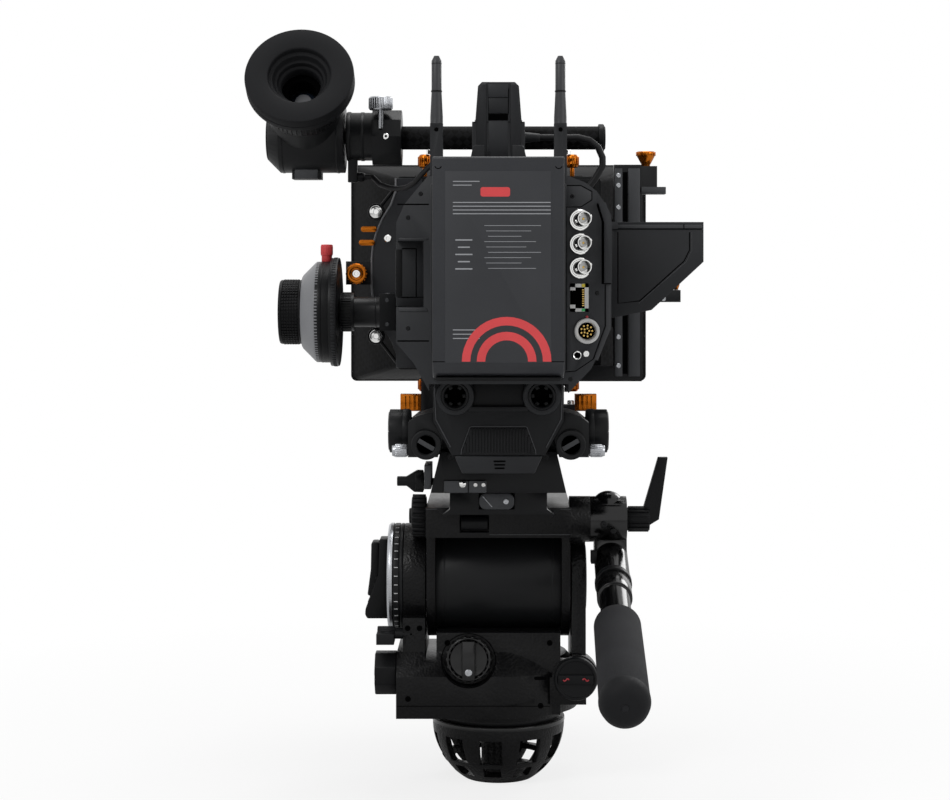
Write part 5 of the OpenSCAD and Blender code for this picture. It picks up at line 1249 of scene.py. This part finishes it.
    def handle(self) -> None:
        """The rear face with painted shade in its slot and groove, feet, pad and thread rim of the handle."""
        y = self.handle_rear
        face = Piece("handle_panel", "camera", PANEL, 0.2)
        face.block((-7.1, y - 0.35, 504.6), (6.6, y + 1.6, 513.6)).block((-6.9, y - 0.25, 462),
            (6.4, y + 0.6, 488)).done()
        rails = Piece("handle_rails", "camera", BODY, 0.5)
        for s in (-1, 1):
            rails.prism([(s * 8.2, 461), (s * 15.6, 461), (s * 15.6, 486), (s * 13.6, 511.5), (s * 11.6, 514.4),
                (s * 8.2, 514.4)][::s], behind(y), 0.9, 0.96)
            rails.prism([(s * 9.4, 453.4), (s * 21.5, 453.4), (s * 17.6, 470), (s * 16.4, 471.4),
                (s * 9.4, 471.4)][::s], behind(y - 5), 1.0, 0.95)
        rails.done()
        lamp = Piece("handle_lamp", "camera", BODY, 0.2)
        lamp.block((-6.9, y + 0.3, 493.4), (6.6, y + 1.9, 504.4)).done()
        # Painted shade: near-black blocks in the slot between the face panels and in the groove below
        dark = Piece("handle_slots", "camera", BLACK_AND_PAINTED_SHADE)
        dark.block((-7.1, y - 0.1, 488.6), (6.6, y + 1, 492.8))
        dark.block((-18.1, y - 0.1, 487.2), (18.1, y + 0.1, 487.7))
        dark.done()
        dishes = Piece("handle_foot_screws", "camera", STEEL)
        for x in (-12.5, 12.5):
            screw(dishes, (x, -155, 455.6), BACK, 2.3, 0.7)
            for fy in (-151.6, 41):
                screw(dishes, (x, fy, 458.8 if fy < 0 else 453.7), UP, 2.2, 0.7)
        dishes.done()
        pad = Piece("handle_pad", "camera", RUBBER, 0.8)
        pad.block((-13.4, -112, 514.6), (13.4, -62, 516.4)).block((-13.4, -38, 514.6), (13.4, -8, 516.4)).done()
        ridges = Piece("handle_ridges", "camera", RUBBER, 0.2)
        row_of(ridges, form(RUBBER).block((-12.4, -0.8, 0), (12.4, 0.8, 0.5)), 15, (0, 3.2, 0),
            Matrix.Translation((0, -109.5, self.pad_top)))
        row_of(ridges, form(RUBBER).block((-12.4, -0.8, 0), (12.4, 0.8, 0.5)), 8, (0, 3.2, 0),
            Matrix.Translation((0, -34, self.pad_top))).done()
        thread = Piece("handle_thread_rim", "camera", STEEL, 0.1)
        thread.band(2.62, 3.6, -8, 0.35, facing((0, -50, 515.2), UP), 32).done()

    def antennas(self) -> None:
        """Rings and pivot screws of the two antennas."""
        for side, body in ((-1, "antenna_l"), (1, "antenna_r")):
            trim = Piece(f"{body}_rings", body, PLASTIC, 0.1)
            at = facing((side * 41.8, -185, 479.6), UP)
            trim.turned([(3.3, 25.6), (3.75, 25.6), (3.75, 26.6), (3.3, 26.8)], at, 40, ring=True)
            trim.band(3.2, 3.5, 44.6, 45.1, at, 40)
            trim.band(4.1, 4.4, 3.6, 4.3, at, 40)
            trim.done()
            pivot = Piece(f"{body}_pivot", body, BLACK_AND_PAINTED_SHADE)
            pivot.rod((side * 41.8, -191.3, 479.6), (side * 41.8, -190.7, 479.6), 1.45, sides=20).done()

    def build(self) -> None:
        """Makes every detail of the camera body."""
        self.battery()
        self.sockets()
        self.panel()
        self.sides()
        self.handle()
        self.antennas()


@dataclass
class Viewfinder:
    """Rod caps, joint rings, clamp knob, housing details and the eyecup."""

    centre: tuple[float, float, float] = (-147.75, 20.0, 495.9)
    rise: float = 27.0
    rod_y: float = 20.0
    rod_z: float = 487.3

    def sight(self) -> Matrix:
        """The frame whose +Z runs along the line of sight towards the eye.

        Returns:
            The frame as a matrix in millimetres.
        """
        a = math.radians(self.rise)
        return facing(self.centre, (0, -math.cos(a), math.sin(a)))

    def arm(self) -> None:
        """The joint's rings, the rod's cap, the steel knob, the cable plug and the bolts."""
        at = facing((0, self.rod_y, self.rod_z + 1), RIGHT)
        rings = Piece("joint_rings", "evf_slide", ANODISED, 0.2)
        rings.band(18, 19.1, -116.4, -113.6, at, 64)
        rings.band(18, 18.9, -106, -103.4, at, 64).done()
        cap = Piece("rod_cap_trim", "evf_slide", PLASTIC, 0.3)
        cap.turned([(0, 81.0), (9.2, 81.0), (8.8, 82.4), (0, 82.8)], facing((0, self.rod_y, self.rod_z), RIGHT), 48)
        cap.turned([(10.3, 77), (10.75, 77.5), (10.75, 80.7), (10.3, 81.2)], facing((0, self.rod_y, self.rod_z), RIGHT),
            48, ring=True).done()
        knob = Piece("clamp_knob_knurled", "evf_knob", STEEL, 0.15, ("evf_clamp_knob",))
        top = facing((-90, 2, 507.4), UP)
        knob.turned([(0, -14), (2.4, -14), (2.4, 0), (8.2, 0), (8.9, 0.8), (8.9, 9.2), (8.2, 10.2), (0, 10.2)], top, 40)
        unit = form(STEEL).rod((8.8, 0, 1.1), (8.8, 0, 9.0), 0.5, sides=8)
        ring_of(knob, unit, 30, top).done()
        plug = Piece("cable_plug", "evf_slide", PLASTIC, 0.3)
        plug.turned([(2.0, 0), (3.4, 0), (3.6, 0.8), (3.6, 4.6), (3.0, 5.6), (2.0, 6.2)],
            facing((-109.4, 20, 457), RIGHT), 32, ring=True).done()
        bolts = Piece("arm_bolts", "evf_slide", CHROME)
        screw(bolts, (-85.8, 20, 509.0), UP, 2.6, 1.0)
        screw(bolts, (-85.8, -1.1, 487.3), BACK, 2.4, 0.9).done()

    def housing(self) -> None:
        """Diopter ring with its marks, end cap, screws, bands and the latch underneath."""
        at = self.sight()
        ring = Piece("diopter_ring", "evf", ANODISED, 0.2)
        ring.turned([(27.9, 34), (28.9, 34), (29.3, 34.8), (29.3, 46.4), (28.9, 47.2), (27.9, 47.2)], at, 72, ring=True)
        unit = form(ANODISED).block((29.1, -0.55, 35.6), (29.9, 0.55, 45.6))
        ring_of(ring, unit, 48, at).done()
        marks = Piece("diopter_marks", "evf", MARK)
        unit = form(MARK).block((27.95, -0.35, 29.5), (28.18, 0.35, 32.3))
        marks.add(REPEAT.copies(unit, 9, turn=(0, 0, 9)), at @ Matrix.Rotation(math.radians(60), 4, "Z")).done()
        cap = Piece("housing_cap", "evf", PLASTIC, 0.4)
        cap.turned([(0, 0), (17.4, 0), (17.4, 0.7), (16.4, 1.2), (9, 1.2), (8, 0.6), (0, 0.6)],
            facing((-177, self.rod_y, self.rod_z), LEFT), 64).done()
        dots = Piece("housing_screws", "evf", STEEL)
        for k in range(3):
            a = math.radians(90 + 120 * k)
            screw(dots, (-178, self.rod_y + 13.2 * math.cos(a), self.rod_z + 13.2 * math.sin(a)), LEFT, 1.3, 0.4)
        dots.done()
        latch = Piece("housing_latch", "evf", ANODISED_GREY, 0.4)
        latch.block((-156.6, 9.6, 455.6), (-138.8, 12.4, 464.5)).block((-153, 8.6, 464.5), (-142.6, 12.0, 470.5))
        latch.done()
        band = Piece("housing_bands", "evf", ANODISED, 0.2)
        for x in (-165.5, -123.5):
            band.band(26.8, 27.35, -0.8, 0.8, facing((x, self.rod_y, self.rod_z), RIGHT), 72)
        band.done()

    def eyecup(self) -> None:
        """The rubber cup with its inner steps, the tunnel painted near-black as its shade, the lens, and a painted
        glint on the lens.
        """
        at = self.sight()
        cup = Piece("eyecup_rubber", "evf", RUBBER, 0.0, ("evf_eyecup",))
        profile = [(15.2, 49.2), (31.6, 49.2), (32.2, 50), (32.2, 52.4), (32.9, 54), (38.6, 59.4), (40.3, 61.2),
            (40.7, 62.4), (40.7, 66.2), (40.3, 66.6), (40.3, 67.4), (40.7, 67.8), (40.7, 73.2), (40.2, 74.6),
            (39.0, 75.0), (24.6, 75.0), (23.7, 74.6), (23.3, 73.8), (22.9, 70.4), (22.0, 69.6), (20.6, 69.2),
            (20.1, 68.4), (19.6, 65.2), (18.7, 64.4), (17.5, 64.0), (17.1, 63.2), (16.8, 60.4), (16.0, 59.8),
            (15.2, 59.4), (14.8, 58.8), (14.8, 52)]
        cup.turned(profile, at, 96, ring=True)
        cup.smooth = 40.0
        cup.done()
        # Painted shade: the tunnel's inside is near-black for the shade deep in it
        tunnel = Piece("eye_tunnel", "evf", BLACK_AND_PAINTED_SHADE)
        tunnel.turned([(15.0, 49.4), (15.0, 50.4), (11.6, 44), (11.0, 36), (10.6, 36), (10.6, 49.4)], at, 48,
            ring=True).done()
        glint = Piece("eye_lens_glint", "evf", WHEEL_GREY_AND_PAINTED_HIGHLIGHT)
        glint.turned([(0, 37.7), (6.2, 37.0), (6.2, 37.2), (0, 37.9)], at, 40).done()
        lens = Piece("eye_lens", "evf", GLASS_DARK)
        lens.turned([(0, 31), (10.9, 31), (10.9, 33.5), (9, 35.4), (6, 36.8), (3, 37.5), (0, 37.7)], at, 48).done()

    def build(self) -> None:
        """Makes every detail of the viewfinder."""
        self.arm()
        self.housing()
        self.eyecup()


@dataclass
class LensAndFocus:
    """The lens rings and the follow focus with its big handwheel."""

    axis_y: float = 70.0
    axis_z: float = 352.0

    def lens(self) -> None:
        """The barrel's ring and the marks of the focus ring."""
        at = facing((0, 0, LENS_Z), FRONT)
        rings = Piece("lens_rings", "camera", STEEL, 0.1)
        rings.band(47.2, 47.9, 16, 17.4, at, 96).done()
        marks = Piece("focus_marks", "focus", MARK, 0.0)
        for k in range(10):
            spot = at @ Matrix.Rotation(math.radians(20 + 14 * k), 4, "Z")
            marks.block((53.2, -0.3, 76.0), (53.62, 0.3, 77.6), spot)
        marks.done()

    def handwheel(self) -> None:
        """The knurled wheel, cone, index disc, red pin, flange and centre screw."""
        at = facing((0, self.axis_y, self.axis_z), LEFT)
        wheel = Piece("handwheel", "wheel", PLASTIC, 0.2, ("ff_handwheel",))
        wheel.turned([(0, 155.5), (24.9, 155.5), (25.5, 156.2), (25.5, 157.6), (25.0, 157.9), (25.0, 170.6),
            (25.5, 170.9), (25.5, 172.4), (24.8, 173.4), (20, 173.8), (9.2, 173.8), (8.2, 172.2), (0, 172.2)], at, 72)
        unit = form(PLASTIC)
        for k in range(6):
            unit.block((24.8, -0.85, 158.3 + 2.1 * k), (25.9, 0.85, 159.9 + 2.1 * k))
        ring_of(wheel, unit, 60, at).done()
        cone = Piece("handwheel_cone", "wheel", WHEEL_GREY_AND_PAINTED_HIGHLIGHT, 0.3)
        cone.turned([(25.4, 155.6), (28.2, 155.6), (29.4, 154.9), (38.6, 145.8), (40, 144.2), (40, 141.2),
            (25.6, 141.2)], at, 96, ring=True)
        cone.done()
        disc = Piece("index_disc", "camera", PLASTIC, 0.2)
        disc.turned([(38, 140.6), (39.9, 140.6), (40.3, 140.2), (40.3, 138.6), (40.1, 138.4), (40.1, 138.0),
            (40.3, 137.8), (40.3, 132.4), (39.9, 131.9), (38, 131.9)], at, 96, ring=True)
        disc.done()
        pin = Piece("focus_pin", "camera", LABEL_RED, 0.2)
        up = facing((-136.7, self.axis_y, 391.2), UP)
        pin.turned([(0, 0), (4.15, 0), (4.15, 5.2), (4.3, 5.6), (4.75, 6.2), (4.75, 13.6), (4.3, 14.4), (0, 14.6)], up,
            40)
        unit = form(LABEL_RED).block((4.6, -0.25, 6.8), (4.9, 0.25, 13.0))
        ring_of(pin, unit, 24, up).done()
        flange = Piece("wheel_flange", "camera", BODY, 0.3)
        flange.turned([(0, 131.6), (42.4, 131.6), (43, 130.9), (43, 127.3), (42.4, 126.6), (12, 126.6), (9, 125.7),
            (0, 125.7)], at, 96)
        unit = form(ANODISED).block((42.6, -0.5, 127.6), (43.4, 0.5, 130.6))
        ring_of(flange, unit, 90, at).done()
        screws = Piece("wheel_screw", "wheel", STEEL)
        screw(screws, at @ Vector((0, 0, 172.2)), LEFT, 4.2, 1.0)
        screws.done()

    def gearbox(self) -> None:
        """The collar's knurling, the shaft's ring and the gearbox's screws."""
        at = facing((0, self.axis_y, self.axis_z), LEFT)
        collar = Piece("gearbox_collar", "camera", ANODISED, 0.2)
        unit = form(ANODISED).block((14.8, -0.5, 116.6), (15.7, 0.5, 124.6))
        ring_of(collar, unit, 40, at).done()
        rings = Piece("gearbox_rings", "camera", ANODISED, 0.1)
        rings.band(11.9, 12.4, 97, 98.4, at, 48).done()
        screws = Piece("gearbox_screws", "camera", ANODISED_GREY)
        for s in (-1, 1):
            screw(screws, (-88, self.axis_y + s * 9.5, self.axis_z + 14.5), UP, 1.6, 0.5)
            screw(screws, (-88, self.axis_y - 14.5, self.axis_z + s * 9.5), BACK, 1.6, 0.5)
        screws.done()

    def build(self) -> None:
        """Makes every detail of the lens and of the follow focus."""
        self.lens()
        self.handwheel()
        self.gearbox()


@dataclass
class MatteBox:
    """Stage, orange knobs, bolts, the hood's frame and the swing-away post."""

    stage_y: float = 104.3
    corners: tuple[tuple[float, float], ...] = ((-60, 474), (60, 474), (-60, 292), (60, 292))

    def cup_knob(self, piece: Piece, heart: Piece, base: Point, direction: Point, r: float, h: float,
            ribs: int) -> None:
        """Adds a flared ribbed knob with a bolt in its middle.

        Args:
            piece: The piece that gets the knob.
            heart: The piece that gets the bolt.
            base: The middle of its foot.
            direction: Where it points.
            r: Its radius.
            h: Its height.
            ribs: How many ribs go round.
        """
        at = facing(base, direction)
        piece.turned([(0, 0), (r * 0.62, 0), (r * 0.66, h * 0.2), (r * 0.92, h * 0.5), (r, h * 0.66), (r, h * 0.93),
            (r * 0.93, h), (r * 0.66, h), (r * 0.6, h * 0.82), (0, h * 0.82)], at, 40)
        unit = form(ORANGE).block((r * 0.9, -r * 0.09, h * 0.46), (r * 1.05, r * 0.09, h * 0.95))
        ring_of(piece, unit, ribs, at)
        screw(heart, at @ Vector((0, 0, h * 0.8)), direction, r * 0.44, h * 0.14)

    def stage(self) -> None:
        """Knobs, bolts, struts, face, rims and plates of the filter stage, and the tray's tab; the face's lighter grey
        and the rim lines are painted light.
        """
        knobs = Piece("stage_knobs_turned", "matte", ORANGE, 0.12, ("stage_knobs",))
        bolts = Piece("stage_bolts", "matte", CHROME)
        for x, z in self.corners:
            at = facing((x, 108, z), UP)
            knobs.turned([(0, -5.4), (3.6, -5.4), (4.6, -4.6), (5.4, -2.2), (4.8, -0.6), (4.8, 0.6), (5.4, 2.2),
                (4.6, 4.6), (3.6, 5.4), (0, 5.4)], at, 32)
            ring_of(knobs, form(ORANGE).block((4.5, -0.5, -3.6), (5.7, 0.5, 3.6)), 16, at)
            knobs.rod((x, 108, z), (x, 108, LENS_Z + math.copysign(78, z - LENS_Z)), 1.9, sides=16)
            bolts.turned([(0, 0), (2.8, 0), (2.8, 3.2), (2.2, 4.0), (0, 4.0)],
                facing((x + math.copysign(4.0, -x), 105, z + math.copysign(5.6, z - LENS_Z)), UP), 24)
        self.cup_knob(knobs, bolts, (-114.8, 101.0, 382.4), BACK, 8.2, 8.6, 20)
        for x, z in ((-105.2, 418.6), (-106.8, 407.6)):
            knobs.prism(rounded(6.4, 2.3, 1.9, centre=(x, z)), behind(106), 4.6)
            knobs.prism(rounded(5.2, 1.2, 1.0, centre=(x, z)), behind(101.4), 0.5)
        knobs.done()
        for z in (432.7, 331.6):
            bolts.turned([(0, 0), (5.3, 0), (5.3, 1.6), (4.9, 2.4), (3.9, 2.6), (3.7, 3.8), (2.2, 4.0), (2.0, 3.0),
                (0, 3.0)], facing((-99.5, 105.4, z), BACK), 32)
        screw(bolts, (-89.9, 102.9, 411.0), BACK, 3.0, 0.9)
        bolts.done()
        # A thin steel line along the stage's curved edge, put there for the bright edge
        rim = Piece("stage_rim", "matte", STEEL, 0.1)
        rim.swept(at_depth(107.2, arc_of((0, LENS_Z), 102.6, range(141, 218, 3))), 0.55, 8).done()
        struts = Piece("stage_struts", "matte", ANODISED, 0.4)
        for z, end in ((432.7, 457.0), (331.6, 307.0)):
            struts.rod((-99.5, 108.5, z), (-80.5, 108.5, end), 1.4, sides=16)
            struts.rod((-99.5, 106.0, z), (-99.5, 112.5, z), 7.0, sides=32)
        struts.done()
        donut = Piece("lens_donut", "matte", RUBBER, 0.0)
        donut.turned([(46, 0), (56.9, 0), (56.9, 3.4), (52, 4.2), (46, 2.6)], facing((0, 112.2, LENS_Z), FRONT), 96,
            ring=True).done()
        # Painted light: the face takes the lighter battery grey so that it looks lit where its recessed place is in
        # shade
        face = Piece("stage_face", "matte", BATTERY, 0.5)
        half = [(-83.1, 77.0), (-83.1, 66.5), (-87.2, 55.3), (-94.1, 44.2), (-98.8, 33.0), (-101.7, 22.0),
            (-102.7, 10.8)]
        arc = [(x, LENS_Z + h) for x, h in half] + [(x, LENS_Z - h) for x, h in reversed(half)]
        face.prism(arc + [(-62, 306), (-62, 460)], behind(self.stage_y), 1.4).done()
        # Painted highlight: a pale grey line along the face's curved edge
        rim = Piece("stage_rim", "matte", WHEEL_GREY_AND_PAINTED_HIGHLIGHT)
        rim.swept([(x - 0.2, self.stage_y - 1.5, z) for x, z in arc[:9]], 0.8, 8).done()
        trim = Piece("stage_plates", "matte", ANODISED, 0.4)
        bracket = ((81, 331), (81, 459), (58, 459), (58, 455), (77, 455), (77, 331))
        for s in (-1, 1):
            trim.prism([(s * x, z) for x, z in bracket], behind(self.stage_y + 0.3), 1.2)
        trim.done()
        tray = Piece("tray_tab", "tray", ANODISED_GREY, 0.3)
        tray.block((-12, 117.6, 461.5), (12, 124.4, 463.6)).done()

    def hood(self) -> None:
        """The hood's front frame."""
        folds = Piece("hood_frame", "matte", PLASTIC, 0.0)
        outer = rounded(126.2, 92.4, 5.0, 6, centre=(0, LENS_Z))
        inner = rounded(124.6, 90.8, 4.4, 6, centre=(0, LENS_Z))
        for k in range(len(outer)):
            n = (k + 1) % len(outer)
            folds.prism([outer[k], outer[n], inner[n], inner[k]], behind(199.6), 3.4)
        folds.done()

    def post(self) -> None:
        """Screws, the painted shade of the slot, blocks and knobs of the swing-away post."""
        strip = Piece("post_strip", "camera", ANODISED_GREY, 0.3)
        strip.block((93.4, 83.2, 300), (99.4, 84.4, 467)).block((104.2, 82.6, 300), (113.6, 84.4, 467)).done()
        # Painted shade: a near-black block stands for the shade in the post's slot
        slot = Piece("post_slot", "camera", BLACK_AND_PAINTED_SHADE)
        slot.block((100.0, 83.5, 302), (103.6, 84.3, 464)).done()
        screws = Piece("post_screws", "camera", STEEL)
        for z in (461.2, 453.4, 435.7, 411.7, 331.6, 308.6):
            screw(screws, (96.4, 83.2, z), BACK, 1.9, 0.7)
        screw(screws, (132.4, 84.2, 362.6), BACK, 2.2, 1.0)
        screws.done()
        knobs = Piece("rig_knobs_turned", "camera", ORANGE, 0.12, ("rig_knobs",))
        bolts = Piece("rig_bolts", "camera", CHROME)
        at = facing((119.0, 93.5, 468.8), UP)
        knobs.turned([(0, 0), (3.4, 0), (3.4, 1.4), (4.0, 2.4), (7.2, 8.4), (7.6, 9.6), (7.6, 11.6), (7.0, 12.2),
            (5.6, 12.2), (5.0, 10.8), (0, 10.8)], at, 40)
        ring_of(knobs, form(ORANGE).prism([(3.6, -0.45), (4.2, -0.45), (4.2, 0.45), (3.6, 0.45)],
            Matrix.Translation((0, 0, 2.6)), 0.6), 20, at)
        ring_of(knobs, form(ORANGE).block((6.9, -0.5, 8.8), (7.95, 0.5, 11.8)), 20, at)
        at = facing((143.4, 93.5, 369.4), UP)
        knobs.turned([(0, 0), (1.7, 0), (1.9, 1.2), (2.6, 3.0), (2.9, 4.2), (2.9, 6.8), (2.4, 7.4), (0, 7.4)], at, 28)
        for s in (-1, 1):
            low, high = sorted((s * 61.8, s * 79.4))
            knobs.block((low, 97.4, 271.2), (high, 108.6, 284.8))
            for k in range(4):
                x = s * (65.5 + 3.4 * k)
                knobs.block((x - 0.9, 96.7, 272.4), (x + 0.9, 97.6, 283.6))
            bolts.turned([(0, 0), (2.7, 0), (2.7, 2.6), (2.0, 3.2), (0, 3.2)], facing((s * 58.5, 101, 276.6), UP), 24)
        knobs.done()
        bolts.done()
        plate = Piece("post_plate", "camera", ANODISED_GREY, 0.3)
        plate.block((105.7, 84.0, 446.4), (134.5, 86.0, 452.2)).done()

    def build(self) -> None:
        """Makes every detail of the matte box and its support."""
        self.stage()
        self.hood()
        self.post()


@dataclass
class Sunshade:
    """Painted highlights on the roof's edge and the inset's bevel, dark lines of painted shadow under the roof and
    round the inset panel, a dark line across the roof's edge, and hinge pins of the sunshade.
    """

    face_y: float = -100.0

    def build(self) -> None:
        """Makes the shade's trim on its own body."""
        # Painted highlight: a pale strip along the roof's edge
        trim = Piece("shade_panel", "shade", PALE_AND_PAINTED_HIGHLIGHT, 0.3)
        trim.block((82.4, -100.4, 414.9), (145.6, -99.9, 417.6)).done()
        # Painted shadow: dark lines under the roof's edge and round the inset
        lines = Piece("shade_lines", "shade", BLACK_AND_PAINTED_SHADE)
        lines.block((82.4, -100.5, 414.2), (145.6, -100.0, 414.8)).block((132.4, -100.6, 414.2), (133.0, -100.0, 417.8))
        lines.swept(at_depth(self.face_y, [(85.5, 412.2), (85.5, 361.2), (101.1, 363.0), (132.9, 391.6), (136.8, 399.4),
            (136.8, 412.2)]), 0.4, 6).done()
        # Painted highlight: a pale line along the inset's bevel
        bevel = Piece("shade_bevel", "shade", PALE_AND_PAINTED_HIGHLIGHT)
        bevel.swept(at_depth(self.face_y, [(100.4, 361.4), (134.2, 391.0), (138.2, 399.2), (138.2, 412.2)]), 0.35,
            6).done()
        pins = Piece("shade_pins", "shade", STEEL)
        for y in (-98.5, 4.5):
            pins.rod((82.8, y, 417), (82.8, y + (1 if y > 0 else -1) * 1.2, 417), 1.6, sides=20)
        pins.done()


@dataclass
class Cords:
    """The two short cords of the camera."""

    finder_route: tuple[tuple[float, float, float], ...] = (
        (-103, 20, 457), (-97, 20, 457), (-91, 12, 451), (-83, 4, 448), (-76, -3, 447), (-69, -14, 448), (-63, -24,
            451), (-57, -36, 457),
        (-51, -48, 462), (-46, -58, 465), (-41, -68, 465), (-37, -78, 462), (-34, -86, 457), (-34, -90, 454), (-34, -90,
            450))
    handle_route: tuple[tuple[float, float, float], ...] = (
        (29, -130, 478), (36, -130, 478), (46, -130, 478), (56, -130, 478), (64, -130, 476), (70, -130, 471), (73, -130,
            464), (73, -130, 458),
        (70, -130, 453), (67, -130, 448), (64, -130, 444))

    @staticmethod
    def length(route: Sequence[Point]) -> float:
        """Measures a route.

        Args:
            route: Its points, in millimetres.

        Returns:
            Its length in metres.
        """
        points = [Vector(p) for p in route]
        return sum((b - a).length for a, b in zip(points, points[1:])) * MM

    def build(self) -> None:
        fixed = Piece("handle_cord", "camera", CORD, 0.0, ("handle_cable",))
        fixed.swept(self.handle_route, 2.4, 20)
        fixed.done()
        moving = Piece("finder_cord", None, CORD, 0.0, ("evf_cable",))
        moving.swept(self.finder_route, 2.0, 20)
        cord = moving.done()
        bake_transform(cord)


@dataclass
class Studio:
    """Camera at the photograph's angle, soft lamps, pale floor and white background."""

    distance: float = 1.608
    height: float = 0.383
    lens: float = 79.84
    shift: tuple[float, float] = (-0.0247, -0.1337)
    ambient: float = 0.3
    floor_radius: float = 6.0
    lamps: tuple[tuple[str, Point, Point, float, float], ...] = (
        ("key_lamp", (-1.3, -1.7, 1.9), (0.0, 0.0, 0.32), 1.0, 19.0),
        ("fill_lamp", (1.7, -1.3, 1.0), (0.0, 0.0, 0.32), 1.1, 8.0),
        ("top_lamp", (0.1, 0.3, 2.1), (0.0, 0.0, 0.3), 1.1, 15.0),
        ("rim_lamp", (1.2, 1.5, 1.2), (0.0, 0.0, 0.35), 0.8, 10.0),
    )

    def camera(self) -> None:
        """Creates the camera."""
        data = bpy.data.cameras.new("photo_view")
        data.sensor_width = 36.0
        data.lens = self.lens
        data.shift_x, data.shift_y = self.shift
        data.clip_end = 50
        obj = bpy.data.objects.new("photo_view", data)
        obj.location = (0.0, -self.distance, self.height)
        obj.rotation_euler = (math.radians(90), 0, 0)
        bpy.context.scene.collection.objects.link(obj)
        bpy.context.scene.camera = obj

    def lights(self) -> None:
        """Creates the soft area lamps."""
        for name, place, aim, size, power in self.lamps:
            data = bpy.data.lights.new(name, "AREA")
            data.shape = "DISK"
            data.size = size
            data.energy = power
            obj = bpy.data.objects.new(name, data)
            obj.location = place
            obj.rotation_euler = (Vector(aim) - Vector(place)).to_track_quat("-Z", "Y").to_euler()
            bpy.context.scene.collection.objects.link(obj)

    def world(self) -> None:
        """White to the eye and in reflections, softer as a light."""
        world = bpy.data.worlds.new("studio_world")
        bpy.context.scene.world = world
        world.use_nodes = True
        tree = world.node_tree
        tree.nodes.clear()
        link = tree.links.new
        path = new_node(tree, "LightPath")
        seen = new_node(tree, "Math", operation="MAXIMUM")
        link(path.outputs["Is Camera Ray"], seen.inputs[0])
        link(path.outputs["Is Glossy Ray"], seen.inputs[1])
        clear = new_node(tree, "Math", operation="MAXIMUM")
        link(seen.outputs[0], clear.inputs[0])
        link(path.outputs["Is Transmission Ray"], clear.inputs[1])
        mix = new_node(tree, "MixShader")
        link(clear.outputs[0], mix.inputs[0])
        for slot, strength in ((1, self.ambient), (2, 1.0)):
            glow = new_node(tree, "Background", {"Color": PLAIN_WHITE, "Strength": strength})
            link(glow.outputs[0], mix.inputs[slot])
        link(mix.outputs[0], new_node(tree, "OutputWorld").inputs["Surface"])

    def floor(self) -> None:
        """A pale round floor that keeps the shadow and fades into the white."""
        mesh = bmesh.new()
        bmesh.ops.create_circle(mesh, cap_ends=True, segments=96, radius=self.floor_radius)
        data = bpy.data.meshes.new("studio_floor")
        mesh.to_mesh(data)
        mesh.free()
        obj = bpy.data.objects.new("studio_floor", data)
        bpy.context.scene.collection.objects.link(obj)
        material = bpy.data.materials.new("floor_paper")
        material.use_nodes = True
        tree = material.node_tree
        link = tree.links.new
        shader = tree.nodes["Principled BSDF"]
        shader.inputs["Roughness"].default_value = 0.9
        shader.inputs["Specular IOR Level"].default_value = 0.1
        noise = new_node(tree, "TexNoise", {"Scale": 300})
        place = new_node(tree, "TexCoord").outputs["Object"]
        link(place, noise.inputs["Vector"])
        ramp = new_node(tree, "MapRange", {"To Min": 0.9, "To Max": 0.94})
        link(noise.outputs["Fac"], ramp.inputs["Value"])
        colour = new_node(tree, "CombineColor")
        for channel in ("Red", "Green", "Blue"):
            link(ramp.outputs["Result"], colour.inputs[channel])
        link(colour.outputs["Color"], shader.inputs["Base Color"])
        paper = new_node(tree, "Emission", {"Color": PLAIN_WHITE, "Strength": 1.0})
        far = new_node(tree, "VectorMath", operation="LENGTH")
        link(place, far.inputs[0])
        fade = new_node(tree, "MapRange", {"From Min": 0.1, "From Max": 0.75, "To Min": 0.8, "To Max": 1.0})
        link(far.outputs["Value"], fade.inputs["Value"])
        path = new_node(tree, "LightPath")
        seen = new_node(tree, "Math", operation="MULTIPLY")
        link(path.outputs["Is Camera Ray"], seen.inputs[0])
        link(fade.outputs["Result"], seen.inputs[1])
        mix = new_node(tree, "MixShader")
        link(seen.outputs[0], mix.inputs[0])
        link(shader.outputs[0], mix.inputs[1])
        link(paper.outputs[0], mix.inputs[2])
        link(mix.outputs[0], tree.nodes["Material Output"].inputs["Surface"])
        data.materials.append(material)

    def build(self) -> None:
        """Sets the camera, lamps, world and floor, and the colour view."""
        self.camera()
        self.lights()
        self.world()
        self.floor()
        bpy.context.scene.view_settings.view_transform = "Standard"


def main() -> None:
    """Builds the studio and every sub-assembly in order."""
    logging.basicConfig(level=logging.INFO, format="%(message)s")
    Studio().build()
    Cords().build()
    dress_nodes()
    for part in (FluidHead(), PlateAndShoulder(), CameraBody(), Viewfinder(), LensAndFocus(), MatteBox(), Sunshade()):
        part.build()
        LOG.info("built %s", type(part).__name__)


if __name__ == "__main__":
    main()
